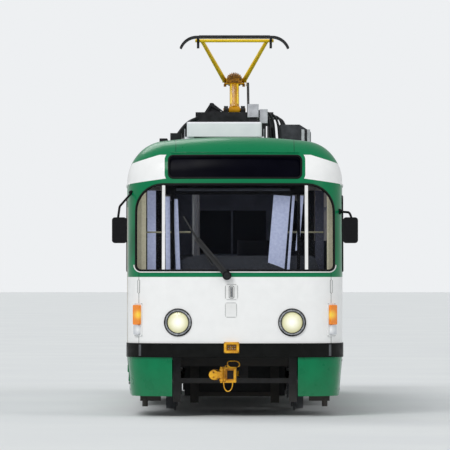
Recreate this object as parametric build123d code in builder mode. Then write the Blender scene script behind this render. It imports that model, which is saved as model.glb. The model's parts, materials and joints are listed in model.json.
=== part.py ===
from build123d import *
import os
from math import asin, atan2, cos, degrees, pi, radians, sin, sqrt, tan

os.makedirs("parts", exist_ok=True)

# A single-ended four-axle tram. The front faces -Y, the doors are on the -X side, +Z is up.
# Z is zero at the lowest points of the wheel flanges, and Y is zero midway between the bogies.

# Gaps between pieces
SEAT = 0.3
RUNNING = 0.6
CLEAR = 6

# Body form
BODY_LENGTH = 14000
BODY_WIDTH = 2500
ROOF_Z = 3145
FORM_OVER = 100
ROOF_EDGE_BAND = 250
BODY_BOTTOM_Z = 665
BELT_Z = 1636
CANT_Z = 2500
CORNER_R = 500
NOSE_R = 3200
TAPER_R = 52000
TAPER_LEN = 2280
RAKE = 9
CROWN_R = 7300
SHOULDER_R = 440
WALL = 55
END_CAP = 800

# Floor, underframe and steps
FLOOR_Z = 922
FLOOR_T = 80
SOLE_W = 110
SOLE_H = 142
SILL_W = 80
SILL_X = 220
BOLSTER_H = 100
BOLSTER_W = 320
SILL_Z = 370
STEP_Z = 646
STEP_T = 20
RISER_LOW_X = 832
RISER_HIGH_X = 550
WELL_SIDE_T = 15

# Doors: four leaves to a doorway, folding inwards in pairs
DOOR_W = 1300
DOOR_TOP_Z = 2460
DOOR_SETBACK = 10
LEAF_T = 40
LEAF_LIGHT_R = 40
LEAF_EDGE = 52
LEAF_FOOT = 10
LEAF_GLASS_T = 6
HINGE_OUT = 10
HINGE_R = 8
PIVOT_R = 8
PIVOT_EDGE_R = 12
MEETING_EDGE_R = 24
# low and high edge of each light of a leaf, and of each hinge
LEAF_LIGHTS = [(560, 1130), (1240, 2340)]
KNUCKLES = [(480, 560), (1160, 1240), (2360, 2430)]
# name of the doorway, its centre along the body
DOORWAYS = [("front", -5400), ("middle", 0), ("rear", 5400)]

# Windows
SCREEN_W = 2220
SCREEN_TOP_Z = 2603
SCREEN_TOP_R = 300
SCREEN_FOOT_R = 60
PILLAR_X = 800
PILLAR_W = 37
SIDE_TOP_Z = 2480
SIDE_R = 90
SIDE_W = 1180
CAB_SIDE_W = 800
PANE_SET = 12
PANE_T = 8
# side (+1 is the driver's side), centre along the body, width
SIDE_LIGHTS = [(1, -5600, CAB_SIDE_W)]
SIDE_LIGHTS += [(1, -4400 + 1360 * i, SIDE_W) for i in range(8)]
SIDE_LIGHTS += [(-1, half * 2700 + 1310 * i, SIDE_W) for half in (-1, 1) for i in (-1, 0, 1)]

# Destination sign
SIGN_W = 1486
SIGN_LOW_Z = 2675
SIGN_HIGH_Z = 2927
SIGN_R = 50

# Bumpers, skirts and wheel arches
BUMPER_PROUD = 18
BUMPER_TOP_Z = 823
SKIRT_Z = 229
SKIRT_T = 30
SKIRT_LEAN = 5
SKIRT_GAP_X = 704
ARCH_TOP_Z = 560
ARCH_R = 160
ARCH_HALF = 1420
PANEL_GAP = 0.8
SOCKET_X = -39
SOCKET_W = 168
SOCKET_LOW_Z = 715
SOCKET_HIGH_Z = 838
SOCKET_OUT = 34
SOCKET_R = 10
SOCKET_SIDE_T = 28
SOCKET_RIM_T = 25
SOCKET_FLOOR_T = 8

# Running gear
BOGIE_Y = 3200
AXLE_HALF = 950
FLANGE_H = 22
TREAD_R = 350
AXLE_R = 55
FLANGE_BACK_X = 683
FLANGE_T = 32
WHEEL_W = 117
HUB_OVER = 10
HUB_BACK_R = 95
HUB_FRONT_R = 88
RIM_IN_R = 296
# web's back and front: distance out from the flange's back, and radius, at two corners each
WEB_BACK = ((30, 105), (44, 280))
WEB_FRONT = ((74, 284), (62, 105))
TREAD_FALL = 4
# flange's rounded top: fall of its back edge, place of its crown, place and fall of its front edge
FLANGE_BACK_FALL = 8
FLANGE_CROWN_OUT = 9
FLANGE_FRONT_IN = 10
FLANGE_FRONT_FALL = 4
BEAM_X = 560
BEAM_W = 90
BEAM_LOW_Z = 300
FRAME_CUT_SHIFT = 100
BEAM_HIGH_Z = 470
BOX_R = 130
SPRING_R = 80
SPRING_H = 130
BOLSTER_BEAM_H = 100
BOLSTER_BEAM_R = 40
PIVOT_PLATE_R = 150
BOLSTER_BEAM_W = 190
PIVOT_PIN_R = 60
MOTOR_R = 180
MOTOR_NEAR = 118
MOTOR_LEN = 470
MOTOR_ARM_T = 60
MOTOR_ARM_H = 60
MOTOR_ARM_UP = 20
GEAR_R = 150
GEAR_CASE_H = 210
GEAR_CASE_LAP = 30
GEAR_W = 190
BRAKE_X = 752
BRAKE_W = 70
BRAKE_H = 90
BRAKE_LEN = 900
BRAKE_LIFT = 10
BRAKE_ARM_UP = 30
BRAKE_ARM_H = 40
BRAKE_ARM_W = 60
BRAKE_ARM_OVER = 20
BRAKE_ROD_R = 12
BRAKE_ROD_LAP = 10

# Lamps on the ends
HEADLAMP_X = 638
HEADLAMP_Z = 1056
HEADLAMP_R = 151
LENS_R = 117
LENS_DOME = 22
SIGNAL_X = 1083
INDICATOR_Z = 1140
INDICATOR_W = 104
INDICATOR_H = 222
MARKER_Z = 972
MARKER_W = 84
MARKER_H = 108
LAMP_PLATE_T = 6
LAMP_DEPTH = 34
RIM_LAP = 15
RIM_FOOT = 6
RIM_EDGE = 12
RIM_PROUD = 24
RIM_BEVEL = 10
RIM_LIP_W = 8
RIM_LIP_OUT = 16
LENS_OUT = 10
MARKER_R = 14
INDICATOR_R = 16
LAMP_PLATE_SIDE = 15
LAMP_PLATE_RISE = 28
LAMP_PLATE_MORE_H = 44
LAMP_PLATE_R = 24
LAMP_PLATE_SUNK = 20

# Flaps, mirrors and wiper of the front
# centre across, centre height, width, height
FLAPS = [(-39, 1396, 134, 168), (-45, 1195, 123, 156), (-1078, 1457, 25, 145), (1078, 1457, 25, 145)]
FLAP_T = 4
FLAP_R = 10
# side, tube from the body outwards as (x, z) points, head centre x, head centre z
MIRRORS = [
    (-1, [(-1165, 2513), (-1296, 2357), (-1318, 2200)], -1296, 2089),
    (1, [(1175, 2301), (1288, 2290), (1318, 2200)], 1296, 2089),
]
MIRROR_Y = -6640
MIRROR_HEAD_Y = -6740
MIRROR_W = 168
MIRROR_H = 290
MIRROR_T = 62
MIRROR_R = 34
MIRROR_TUBE_R = 13
MIRROR_BEND_R = 40
MIRROR_FOOT_R = 32
MIRROR_FOOT_T = 14
MIRROR_FOOT_SUNK = 4
WIPER_X = -89
WIPER_Z = 1580
WIPER_TIP = (-575, 2240)
WIPER_KNEE = (-430, 1990)
WIPER_HUB_R = 26
WIPER_HUB_HALF = 46
WIPER_OUT = 34
WIPER_PIN_R = 14
WIPER_PIN_HALF = 22
# width, thickness and corner radius of the wiper's arm at its foot and at its knee
WIPER_FOOT_SECTION = (34, 14, 5)
WIPER_KNEE_SECTION = (16, 10, 4)
# low end of the blade from the knee, its distance from the glass, its radius
BLADE_TAIL = (180, -300)
BLADE_OUT = 18
BLADE_R = 11

# Towing gear
COUPLER_Z = 469
DRAW_PIVOT_Y = -6100
DRAW_LEN = 740
DRAW_SWING = 5.2
DRAW_W = 60
DRAW_H = 56
DRAW_PIN_R = 25
DRAW_EYE_R = 46
POCKET_W = 156
POCKET_H = 178
POCKET_DEPTH = 90
POCKET_T = 26
POCKET_R = 12
POCKET_BACK_T = 30
HEAD_LEN = 190
HEAD_R = 54
HEAD_FOLD = 180
HEAD_PIN_R = 14
HEAD_BORE_R = 17
HEAD_BORE_DEPTH = 90
HEAD_LIP = 36
HEAD_LIP_OUT = 8
HEAD_EYE_R = 10
HEAD_EYE_DEPTH = 24
PIN_AHEAD = 28
PIN_LUG_R = 22
PIN_LUG_T = 24
PIN_LUG_IN = 20
KNUCKLE_H = 72
GATE_Y = -6300
GATE_X = 655
GATE_POST_W = 90
GATE_LOW_Z = 295
GATE_BAR_Z = 394
GATE_BAR_H = 56
GATE_T = 60
BRACKET_W = 300
BRACKET_T = 30
BRACKET_BACK = 130
BRACKET_LOW = 60
YOKE_R = 60
YOKE_T = 20
YOKE_GAP = 6

# Guards and hangers under the ends
GUARD_Y = -5000
GUARD_T = 50
GUARD_LEG_X = 463
GUARD_LEG_W = 100
GUARD_LOW_Z = 115
GUARD_BAR_Z = 212
GUARD_BAR_H = 50
HANGER_Y = -6150
HANGER_X = 955
HANGER_W = 234
HANGER_H = 67
HANGER_Z = 196
PEG_X = 1016
PEG_R = 32
PEG_LOW_Z = 100

# Inside
DESK_LOW_Z = 1290
DESK_TOP_Z = 1600
DESK_BACK_Y = -6480
HOOD_TOP_Z = 1780
HOOD_HALF = 660
HOOD_LEN = 110
HOOD_LAP = 40
DESK_LEG_X = 760
DESK_LEG_W = 260
DESK_LEG_LEN = 160
DESK_LEG_IN = 90
PARTITION_H = 1060
# centre across, centre along the body, size across, size along
PARTITION = [(600, -5150, 1140, 30), (45, -5600, 30, 900)]
POLE_R = 17
POLE_X = 470
SEAT_W = 430
SEAT_DEPTH = 430
SEAT_H = 440
SEAT_BACK = 840
SEAT_T = 90
SEAT_DIP = 20
SEAT_BEND = 70
SEAT_BACK_LEAN = 10
SEAT_BACK_T = 50
SEAT_POST_W = 120
SEAT_POST_LEN = 160
SEAT_POST_LAP = 10
# centre across, front edge along the body
SEATS = [(470, -6020)]
SEATS += [(900, -4700 + 1000 * i) for i in range(10)]
SEATS += [(-900, half * 2700 + 900 * i - 200) for half in (-1, 1) for i in (-1, 0, 1)]

# Boxes under the floor
FLOOR_BOX_R = 30
# centre across, width, near end and far end along the body, height
FLOOR_BOXES = [
    (735, 770, -1600, -620, 520), (735, 770, -560, 560, 480), (735, 770, 620, 1600, 520),
    (-860, 520, -1600, -760, 500), (-860, 520, 760, 1600, 500),
]

# Roof equipment
COOLER_X = -120
COOLER_W = 856
COOLER_LEN = 750
COOLER_FRONT_Y = -5700
COOLER_LOW_Z = 3166
COOLER_H = 166
COOLER_R = 40
COOLER_LID_R = 18
COOLER_FOOT_W = 110
COOLER_FOOT_LEN = 60
COOLER_FOOT_SIDE = 30
COOLER_FOOT_END = 70
RESISTOR_FRONT_Y = -4500
RESISTOR_LEN = 1500
RESISTOR_IN_X = 524
RESISTOR_RIDGE_X = 756
RESISTOR_OUT_X = 884
RESISTOR_LOW_Z = 3040
RESISTOR_TOP_Z = 3337
RESISTOR_EDGE_Z = 3255
VENTS = 10
VENT_START = 90
VENT_PITCH = 142
VENT_W = 70
# outline across the tram of each vent in the box's sloping side
VENT = [(770, 3400), (930, 3300), (930, 3150), (862, 3150), (862, 3240), (752, 3310)]
LOW_BOX_X = -681
LOW_BOX_Y = -4300
LOW_BOX_W = 128
LOW_BOX_LEN = 1300
LOW_BOX_R = 20
LOW_BOX_TOP_Z = 3226
WALKWAY_X = -821
WALKWAY_Y = -3900
WALKWAY_W = 90
WALKWAY_LEN = 2600
WALKWAY_TOP_Z = 3150
SWITCH_BOX_R = 12
STAND_SIDE = 20
STAND_END = 30
# centre across, front, low and high, width, length
SWITCH_BOXES = [(214, -4800, 3415, 3566, 128, 200), (336, -4780, 3346, 3507, 93, 160)]

# Pantograph
PAN_Y = -3350
PAN_Z = 3540
PAN_ELBOW_Y = -2300
PAN_ELBOW_Z = 3930
PAN_HEAD_Y = -3400
PAN_HEAD_Z = 4360
PAN_FRAME_X = 430
PAN_FRAME_FRONT = -3500
PAN_FRAME_REAR = -2500
PAN_FRAME_Z = 3450
PAN_TUBE = 60
PAN_SHAFT_R = 24
PAN_RAIL_X = 100
PAN_BEARING_R = 50
PAN_BEARING_HALF = 25
PAN_BEARING_W = 130
PAN_BEARING_H = 50
PAN_BEARING_SUNK = 5
STOP_T = 20
STOP_SUNK = 10
STOP_FLOOR = 8
STOP_TOP_Z = 3621
STOP_HOLE_Z = 3580
# across the tram: the stop's foot, top and foot, and its hole's corners
STOP_X = (-360, -284, -262, -100)
STOP_HOLE_X = (-318, -277, -150)
RIBS = 5
RIB_PITCH = 46
RIB_LOW_Z = 3225
RIB_R = 58
RIB_EDGE_T = 8
RIB_H = 26
CORE_R = 38
CORE_MID_Z = 3270
INSULATOR_FOOT_R = 70
INSULATOR_FOOT_Z = 3150
INSULATOR_FOOT_H = 90
INSULATOR_END = 60
ROD_PIN_R = 8
LOWER_TUBE_R = 56
ELBOW_R = 66
ELBOW_SHAFT_R = 27
ELBOW_HALF = 72
ELBOW_SHAFT_OVER = 24
PAN_FOOT_R = 44
PAN_FOOT_HALF = 64
PAN_SHAFT_OVER = 32
UPPER_LOW_X = 119
UPPER_HIGH_X = 385
UPPER_TUBE_R = 28
UPPER_END_R = 22
APEX_R = 19
APEX_OVER = 20
BOW_HALF = 445
BOW_REACH = 649
BOW_DROP = 142
BOW_T = 26
BOW_TOP_Z = 4415
BOW_GAP = 110
BOW_W = 48
BOW_TIE_T = 24
BOW_TIE_H = 18
BOW_TIE_DOWN = 8
BOW_EYE_R = 34
ROD_X = 165
ROD_R = 15
ROD_EYE_R = 24
LEVER_Y = -14.4
LEVER_Z = -50
LEVER_OUT = 21
LEVER_T = 8
LEVER_EDGE = 5
LEVER_EYE_R = 20
LEVER_HALF = 30
LEVER_END_HALF = 19
ROD_FOOT_Y = -100
ROD_FOOT_Z = -122.5
ROD_LUG_OUT = 20
ROD_LUG_R = 20
ROD_LUG_HALF = 4
ROD_PIN_HALF = 22
ROD_ARM_BACK = 32
ROD_ARM_DOWN = 10
ROD_ARM_LEN = 70
ROD_ARM_H = 40
ROD_EYE_HALF = 13

# Worked out from the sizes above
END_Y = BODY_LENGTH / 2 - END_CAP
FLOOR_LOW_Z = FLOOR_Z - FLOOR_T
AXLE_Z = FLANGE_H + TREAD_R
TAPER_A = asin(TAPER_LEN / TAPER_R)
STEP_LOW_Z = SILL_Z - STEP_T
LENS_ARC_R = ((LENS_R - SEAT) ** 2 + LENS_DOME**2) / (2 * LENS_DOME)
LENS_MID = LENS_OUT + LENS_DOME - LENS_ARC_R + sqrt(LENS_ARC_R**2 - (LENS_R / 2) ** 2)
WELL_INSET = max(WALL, SKIRT_T + (BODY_BOTTOM_Z - STEP_LOW_Z) * tan(radians(SKIRT_LEAN))) + SEAT
BOLSTER_LOW_Z = FLOOR_LOW_Z - BOLSTER_H
BOLSTER_BEAM_LOW_Z = BEAM_HIGH_Z + SPRING_H
BOLSTER_BEAM_HIGH_Z = BOLSTER_BEAM_LOW_Z + BOLSTER_BEAM_H
BRAKE_TOP_Z = FLANGE_H + BRAKE_LIFT + BRAKE_H
LEAF_GAP = 2 * (HINGE_R - SEAT - CLEAR / 2)
LEAF_W = (DOOR_W / 2 - 2 * CLEAR - LEAF_GAP) / 2
LEAF_LOW_Z = SILL_Z + LEAF_FOOT
LEAF_HIGH_Z = DOOR_TOP_Z - LEAF_FOOT
FOLD_Y = CLEAR + LEAF_W + LEAF_GAP / 2
PAN_TUBE_TOP = PAN_FRAME_Z + PAN_TUBE
INSULATOR_Y = (PAN_FRAME_FRONT + INSULATOR_END, PAN_FRAME_REAR - INSULATOR_END)
ROD_FOOT = (PAN_Y + ROD_FOOT_Y, PAN_Z + ROD_FOOT_Z)
ROD_TOP = (PAN_ELBOW_Y + LEVER_Y, PAN_ELBOW_Z + LEVER_Z)
HORN_A = 2 * atan2(BOW_DROP, BOW_REACH - BOW_HALF)
HORN_R = (BOW_REACH - BOW_HALF) / sin(HORN_A)
LOWER_AT = Vector(0, PAN_Y, PAN_Z)
ELBOW_AT = Vector(0, PAN_ELBOW_Y, PAN_ELBOW_Z)
HEAD_AT = Vector(0, PAN_HEAD_Y, PAN_HEAD_Z)


def nose_angle(inset):
    """Angle at the nose centre between straight ahead and the start of the round corner."""
    taper, corner, nose = TAPER_R - inset, CORNER_R - inset, NOSE_R - inset
    half = BODY_WIDTH / 2 - inset
    return asin((half - taper * (1 - cos(TAPER_A)) - corner * cos(TAPER_A)) / (nose - corner))


def taper_start(inset):
    """Distance from the middle of the body to where its sides start to draw in."""
    taper, corner, nose = TAPER_R - inset, CORNER_R - inset, NOSE_R - inset
    g = nose_angle(inset)
    run = taper * sin(TAPER_A) + corner * (cos(g) - sin(TAPER_A)) + nose * (1 - cos(g))
    return BODY_LENGTH / 2 - inset - run


def side_x(y):
    """Half width of the body at a place along it, forward of the round corner."""
    past = max(0, abs(y) - taper_start(0))
    return BODY_WIDTH / 2 - TAPER_R + sqrt(TAPER_R**2 - past**2)


def surface(x, z, inset=0):
    """Plane that lies on the front below the belt, its own Z pointing out of the body."""
    g = nose_angle(0)
    if abs(x) < (NOSE_R - inset) * sin(g):
        a = asin(abs(x) / (NOSE_R - inset))
        y = -BODY_LENGTH / 2 + NOSE_R - (NOSE_R - inset) * cos(a)
    else:
        centre_x = BODY_WIDTH / 2 - TAPER_R + (TAPER_R - CORNER_R) * cos(TAPER_A)
        centre_y = -taper_start(0) - (TAPER_R - CORNER_R) * sin(TAPER_A)
        a = asin((abs(x) - centre_x) / (CORNER_R - inset))
        y = centre_y - (CORNER_R - inset) * cos(a)
    side = 1 if x > 0 else -1
    return Plane(origin=(x, y, z), x_dir=(cos(a), side * sin(a), 0), z_dir=(side * sin(a), -cos(a), 0))


def corner_y(x, z):
    """Place along the tram where the front corner stands a given way out, at a height above the belt."""
    centre_x = BODY_WIDTH / 2 - TAPER_R + (TAPER_R - CORNER_R) * cos(TAPER_A)
    centre_y = -taper_start(0) - (TAPER_R - CORNER_R) * sin(TAPER_A)
    return centre_y - sqrt(CORNER_R**2 - (abs(x) - centre_x) ** 2) + (z - BELT_Z) * tan(radians(RAKE))


def front_outline(inset):
    """Front half of the body's plan: straight side, long taper, round corner and bowed nose."""
    half = BODY_WIDTH / 2 - inset
    g = nose_angle(inset)
    with BuildLine() as line:
        side = Line((half, 0), (half, -taper_start(inset)))
        taper = JernArc(side @ 1, (0, -1), TAPER_R - inset, -degrees(TAPER_A))
        corner = JernArc(taper @ 1, taper % 1, CORNER_R - inset, -degrees(pi / 2 - g - TAPER_A))
        JernArc(corner @ 1, corner % 1, NOSE_R - inset, -degrees(g))
        mirror(about=Plane.YZ)
    return line.line


def plan(inset):
    """Whole plan of the body, drawn in by an inset."""
    with BuildSketch() as face:
        with BuildLine():
            add(front_outline(inset))
            mirror(about=Plane.XZ)
        make_face()
    return face.sketch


def form(inset, bottom):
    """Solid form of the body: upright to the belt, raked at both ends above it, under a crowned roof."""
    half = BODY_WIDTH / 2 - inset
    with BuildPart() as solid:
        for height, rise, lean in ((bottom, BELT_Z - bottom, 0), (BELT_Z, ROOF_Z - BELT_Z + FORM_OVER, RAKE)):
            with BuildSketch(Plane.XY.offset(height)):
                with BuildLine():
                    add(front_outline(inset))
                    Line((-half, 0), (half, 0))
                make_face()
            extrude(amount=rise, dir=(0, tan(radians(lean)), 1))
        split(bisect_by=Plane.XZ, keep=Keep.TOP)
        mirror(about=Plane.XZ)
        with BuildSketch(Plane.XZ):
            with Locations((0, ROOF_Z - CROWN_R)):
                Circle(CROWN_R - inset)
        extrude(amount=BODY_LENGTH, both=True, mode=Mode.INTERSECT)
        rim = [e for e in solid.edges() if all(v.Z > ROOF_Z - ROOF_EDGE_BAND for v in e.vertices())]
        fillet(rim, radius=SHOULDER_R - inset)
    return solid.part


def crown(rise):
    """Cylinder under the crown of the roof, that pieces standing on the roof are cut with."""
    with BuildPart() as drum:
        with BuildSketch(Plane.XZ):
            with Locations((0, ROOF_Z - CROWN_R)):
                Circle(CROWN_R + rise)
        extrude(amount=BODY_LENGTH, both=True)
    return drum.part


def roof_height(x):
    """Height of the crowned roof at a distance from the centre line."""
    return ROOF_Z - CROWN_R + sqrt(CROWN_R**2 - x**2)


def end_lights(gap):
    """The three lights of an end window as a prism along the tram, drawn in by a gap."""
    with BuildPart() as prism:
        with BuildSketch(Plane.XZ) as face:
            with Locations((0, (BELT_Z + SCREEN_TOP_Z) / 2)):
                Rectangle(SCREEN_W - 2 * gap, SCREEN_TOP_Z - BELT_Z - 2 * gap)
            fillet(face.vertices().group_by(Axis.Y)[-1], SCREEN_TOP_R - gap)
            fillet(face.vertices().group_by(Axis.Y)[0], SCREEN_FOOT_R - gap)
            with Locations((-PILLAR_X, BELT_Z), (PILLAR_X, BELT_Z)):
                Rectangle(PILLAR_W + 2 * gap, 2 * BELT_Z, mode=Mode.SUBTRACT)
        extrude(amount=BODY_LENGTH, both=True)
    return prism.part


def side_lights(side, gap):
    """The windows of one side wall as prisms across it, drawn in by a gap."""
    with BuildPart() as prisms:
        with BuildSketch(Plane.YZ.offset(side * BODY_WIDTH / 2)):
            for which, y, width in SIDE_LIGHTS:
                if which == side:
                    with Locations((y, (BELT_Z + SIDE_TOP_Z) / 2)):
                        RectangleRounded(width - 2 * gap, SIDE_TOP_Z - BELT_Z - 2 * gap, SIDE_R - gap)
        extrude(amount=4 * WALL, both=True)
    return prisms.part


def sign_light(gap):
    """The destination sign's opening as a prism towards the front, drawn in by a gap."""
    with BuildPart() as prism:
        with BuildSketch(Plane.XZ):
            with Locations((0, (SIGN_LOW_Z + SIGN_HIGH_Z) / 2)):
                RectangleRounded(SIGN_W - 2 * gap, SIGN_HIGH_Z - SIGN_LOW_Z - 2 * gap, SIGN_R - gap)
        extrude(amount=BODY_LENGTH)
    return prism.part


# Body shell before it is parted into its panels
with BuildPart() as shell:
    add(form(0, BODY_BOTTOM_Z))
    add(form(WALL, BODY_BOTTOM_Z - WALL), mode=Mode.SUBTRACT)
    add(end_lights(0), mode=Mode.SUBTRACT)
    add(side_lights(1, 0), mode=Mode.SUBTRACT)
    add(side_lights(-1, 0), mode=Mode.SUBTRACT)
    add(sign_light(0), mode=Mode.SUBTRACT)
    for _, y in DOORWAYS:
        with BuildSketch(Plane.XY):
            with Locations((-BODY_WIDTH / 2, y)):
                Rectangle(6 * WALL, DOOR_W)
        extrude(amount=DOOR_TOP_Z, mode=Mode.SUBTRACT)
    for side in (-1, 1):
        with BuildSketch(surface(side * HEADLAMP_X, HEADLAMP_Z)):
            Circle(HEADLAMP_R - RIM_LAP)
        extrude(amount=4 * WALL, both=True, mode=Mode.SUBTRACT)

with BuildPart() as front_end:
    add(shell.part)
    split(bisect_by=Plane.XZ.offset(END_Y), keep=Keep.TOP)
front_end.part.label = "front_end"
export_step(front_end.part, "parts/front_end.step")

with BuildPart() as rear_end:
    add(shell.part)
    split(bisect_by=Plane.XZ.offset(-END_Y), keep=Keep.BOTTOM)
rear_end.part.label = "rear_end"
export_step(rear_end.part, "parts/rear_end.step")

with BuildPart() as saloon:
    add(shell.part)
    split(bisect_by=Plane.XZ.offset(END_Y), keep=Keep.BOTTOM)
    split(bisect_by=Plane.XZ.offset(-END_Y), keep=Keep.TOP)

with BuildPart() as roof_shell:
    add(saloon.part)
    split(bisect_by=Plane.XY.offset(CANT_Z), keep=Keep.TOP)
roof_shell.part.label = "roof_shell"
export_step(roof_shell.part, "parts/roof_shell.step")

for name, keep in (("side_wall_left", Keep.TOP), ("side_wall_right", Keep.BOTTOM)):
    with BuildPart() as side_wall:
        add(saloon.part)
        split(bisect_by=Plane.XY.offset(CANT_Z), keep=Keep.BOTTOM)
        split(bisect_by=Plane.YZ, keep=keep)
        with BuildSketch(Plane.XY.offset(DOOR_TOP_Z)):
            with Locations(*[(-BODY_WIDTH / 2, y + end * DOOR_W / 2) for _, y in DOORWAYS for end in (-1, 1)]):
                Rectangle(BODY_WIDTH / 2, PANEL_GAP)
        extrude(amount=CANT_Z - DOOR_TOP_Z, mode=Mode.SUBTRACT)
    side_wall.part.label = name
    export_step(side_wall.part, f"parts/{name}.step")

# Window glass, cut from one thin layer that follows the body
with BuildPart() as glass_layer:
    add(form(PANE_SET, BODY_BOTTOM_Z))
    add(form(PANE_SET + PANE_T, BODY_BOTTOM_Z - WALL), mode=Mode.SUBTRACT)

for name, keep in (("windscreen_panes", Keep.TOP), ("rear_panes", Keep.BOTTOM)):
    with BuildPart() as panes:
        add(glass_layer.part)
        add(end_lights(SEAT), mode=Mode.INTERSECT)
        split(bisect_by=Plane.XZ, keep=keep)
    panes.part.label = name
    export_step(panes.part, f"parts/{name}.step")

for name, side in (("side_panes_left", 1), ("side_panes_right", -1)):
    with BuildPart() as panes:
        add(glass_layer.part)
        add(side_lights(side, SEAT), mode=Mode.INTERSECT)
    panes.part.label = name
    export_step(panes.part, f"parts/{name}.step")

with BuildPart() as destination_sign:
    add(glass_layer.part)
    add(sign_light(SEAT), mode=Mode.INTERSECT)
destination_sign.part.label = "destination_sign"
export_step(destination_sign.part, "parts/destination_sign.step")


def wells(grow, inner_x):
    """Blocks that fill the step wells in plan, for cutting what they pass through."""
    with BuildPart() as blocks:
        for _, y in DOORWAYS:
            with BuildSketch(Plane.XY.offset(STEP_LOW_Z)):
                with Locations((-inner_x - BODY_WIDTH / 2, y)):
                    Rectangle(BODY_WIDTH, DOOR_W + 2 * grow)
            extrude(amount=FLOOR_Z)
    return blocks.part


# Underframe: floor, edge sills, two centre sills and the bolsters over the bogies
with BuildPart() as underframe:
    with BuildSketch(Plane.XY.offset(FLOOR_LOW_Z - SOLE_H)):
        add(plan(WALL + SEAT))
        add(plan(WALL + SEAT + SOLE_W), mode=Mode.SUBTRACT)
    extrude(amount=SOLE_H)
    add(wells(WELL_SIDE_T + 2 * SEAT, RISER_HIGH_X - STEP_T - SEAT), mode=Mode.SUBTRACT)
    with BuildSketch(Plane.XY.offset(FLOOR_LOW_Z)):
        add(plan(WALL + SEAT))
        for _, y in DOORWAYS:
            with Locations((-RISER_HIGH_X - BODY_WIDTH / 2, y)):
                Rectangle(BODY_WIDTH, DOOR_W, mode=Mode.SUBTRACT)
    extrude(amount=FLOOR_T)
    with BuildSketch(Plane.XY.offset(BOLSTER_LOW_Z)):
        for y in (-BOGIE_Y, BOGIE_Y):
            with Locations((0, y)):
                Rectangle(BODY_WIDTH - 2 * WALL - SOLE_W, BOLSTER_W)
        with Locations((-SILL_X, 0), (SILL_X, 0)):
            Rectangle(SILL_W, BODY_LENGTH - END_CAP)
    extrude(amount=BOLSTER_H)
    with BuildSketch(Plane.XY.offset(BOLSTER_BEAM_LOW_Z)):
        with Locations((0, -BOGIE_Y), (0, BOGIE_Y)):
            Circle(PIVOT_PIN_R)
    extrude(amount=FLOOR_LOW_Z - BOLSTER_BEAM_LOW_Z)
underframe.part.label = "underframe"
export_step(underframe.part, "parts/underframe.step")


def door_face(y):
    """Distance of the leaves' outside face from the centre line, for the doorway at y."""
    return side_x(abs(y) + DOOR_W / 2) - DOOR_SETBACK


# Step wells: sill, step and two kick plates between side plates, under each doorway
with BuildPart() as step_wells:
    for _, y in DOORWAYS:
        # outer and inner edge across, low and high edge
        boards = [
            (door_face(y), RISER_LOW_X + SEAT, STEP_LOW_Z, SILL_Z),
            (RISER_LOW_X, RISER_LOW_X - STEP_T, STEP_LOW_Z, STEP_Z - STEP_T - SEAT),
            (RISER_LOW_X, RISER_HIGH_X + SEAT, STEP_Z - STEP_T, STEP_Z),
            (RISER_HIGH_X, RISER_HIGH_X - STEP_T, STEP_Z - STEP_T, FLOOR_LOW_Z),
        ]
        with BuildSketch(Plane.XZ.offset(-y)):
            for outer_x, inner_x, low_z, high_z in boards:
                with Locations(((-outer_x - inner_x) / 2, (low_z + high_z) / 2)):
                    Rectangle(outer_x - inner_x, high_z - low_z)
        extrude(amount=DOOR_W / 2, both=True)
        for end in (-1, 1):
            plate_y = y + end * (DOOR_W / 2 + SEAT)
            plate_x = side_x(abs(y) + DOOR_W / 2) - WELL_INSET
            with BuildSketch(Plane.XZ.offset(-plate_y)):
                with BuildLine():
                    Polyline(
                        (-plate_x, STEP_LOW_Z), (-plate_x, FLOOR_LOW_Z),
                        (-RISER_HIGH_X + STEP_T, FLOOR_LOW_Z), (-RISER_HIGH_X + STEP_T, STEP_Z - STEP_T),
                        (-RISER_LOW_X + STEP_T, STEP_Z - STEP_T), (-RISER_LOW_X + STEP_T, STEP_LOW_Z),
                        close=True,
                    )
                make_face()
            extrude(amount=-end * WELL_SIDE_T)
step_wells.part.label = "step_wells"
export_step(step_wells.part, "parts/step_wells.step")

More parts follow.
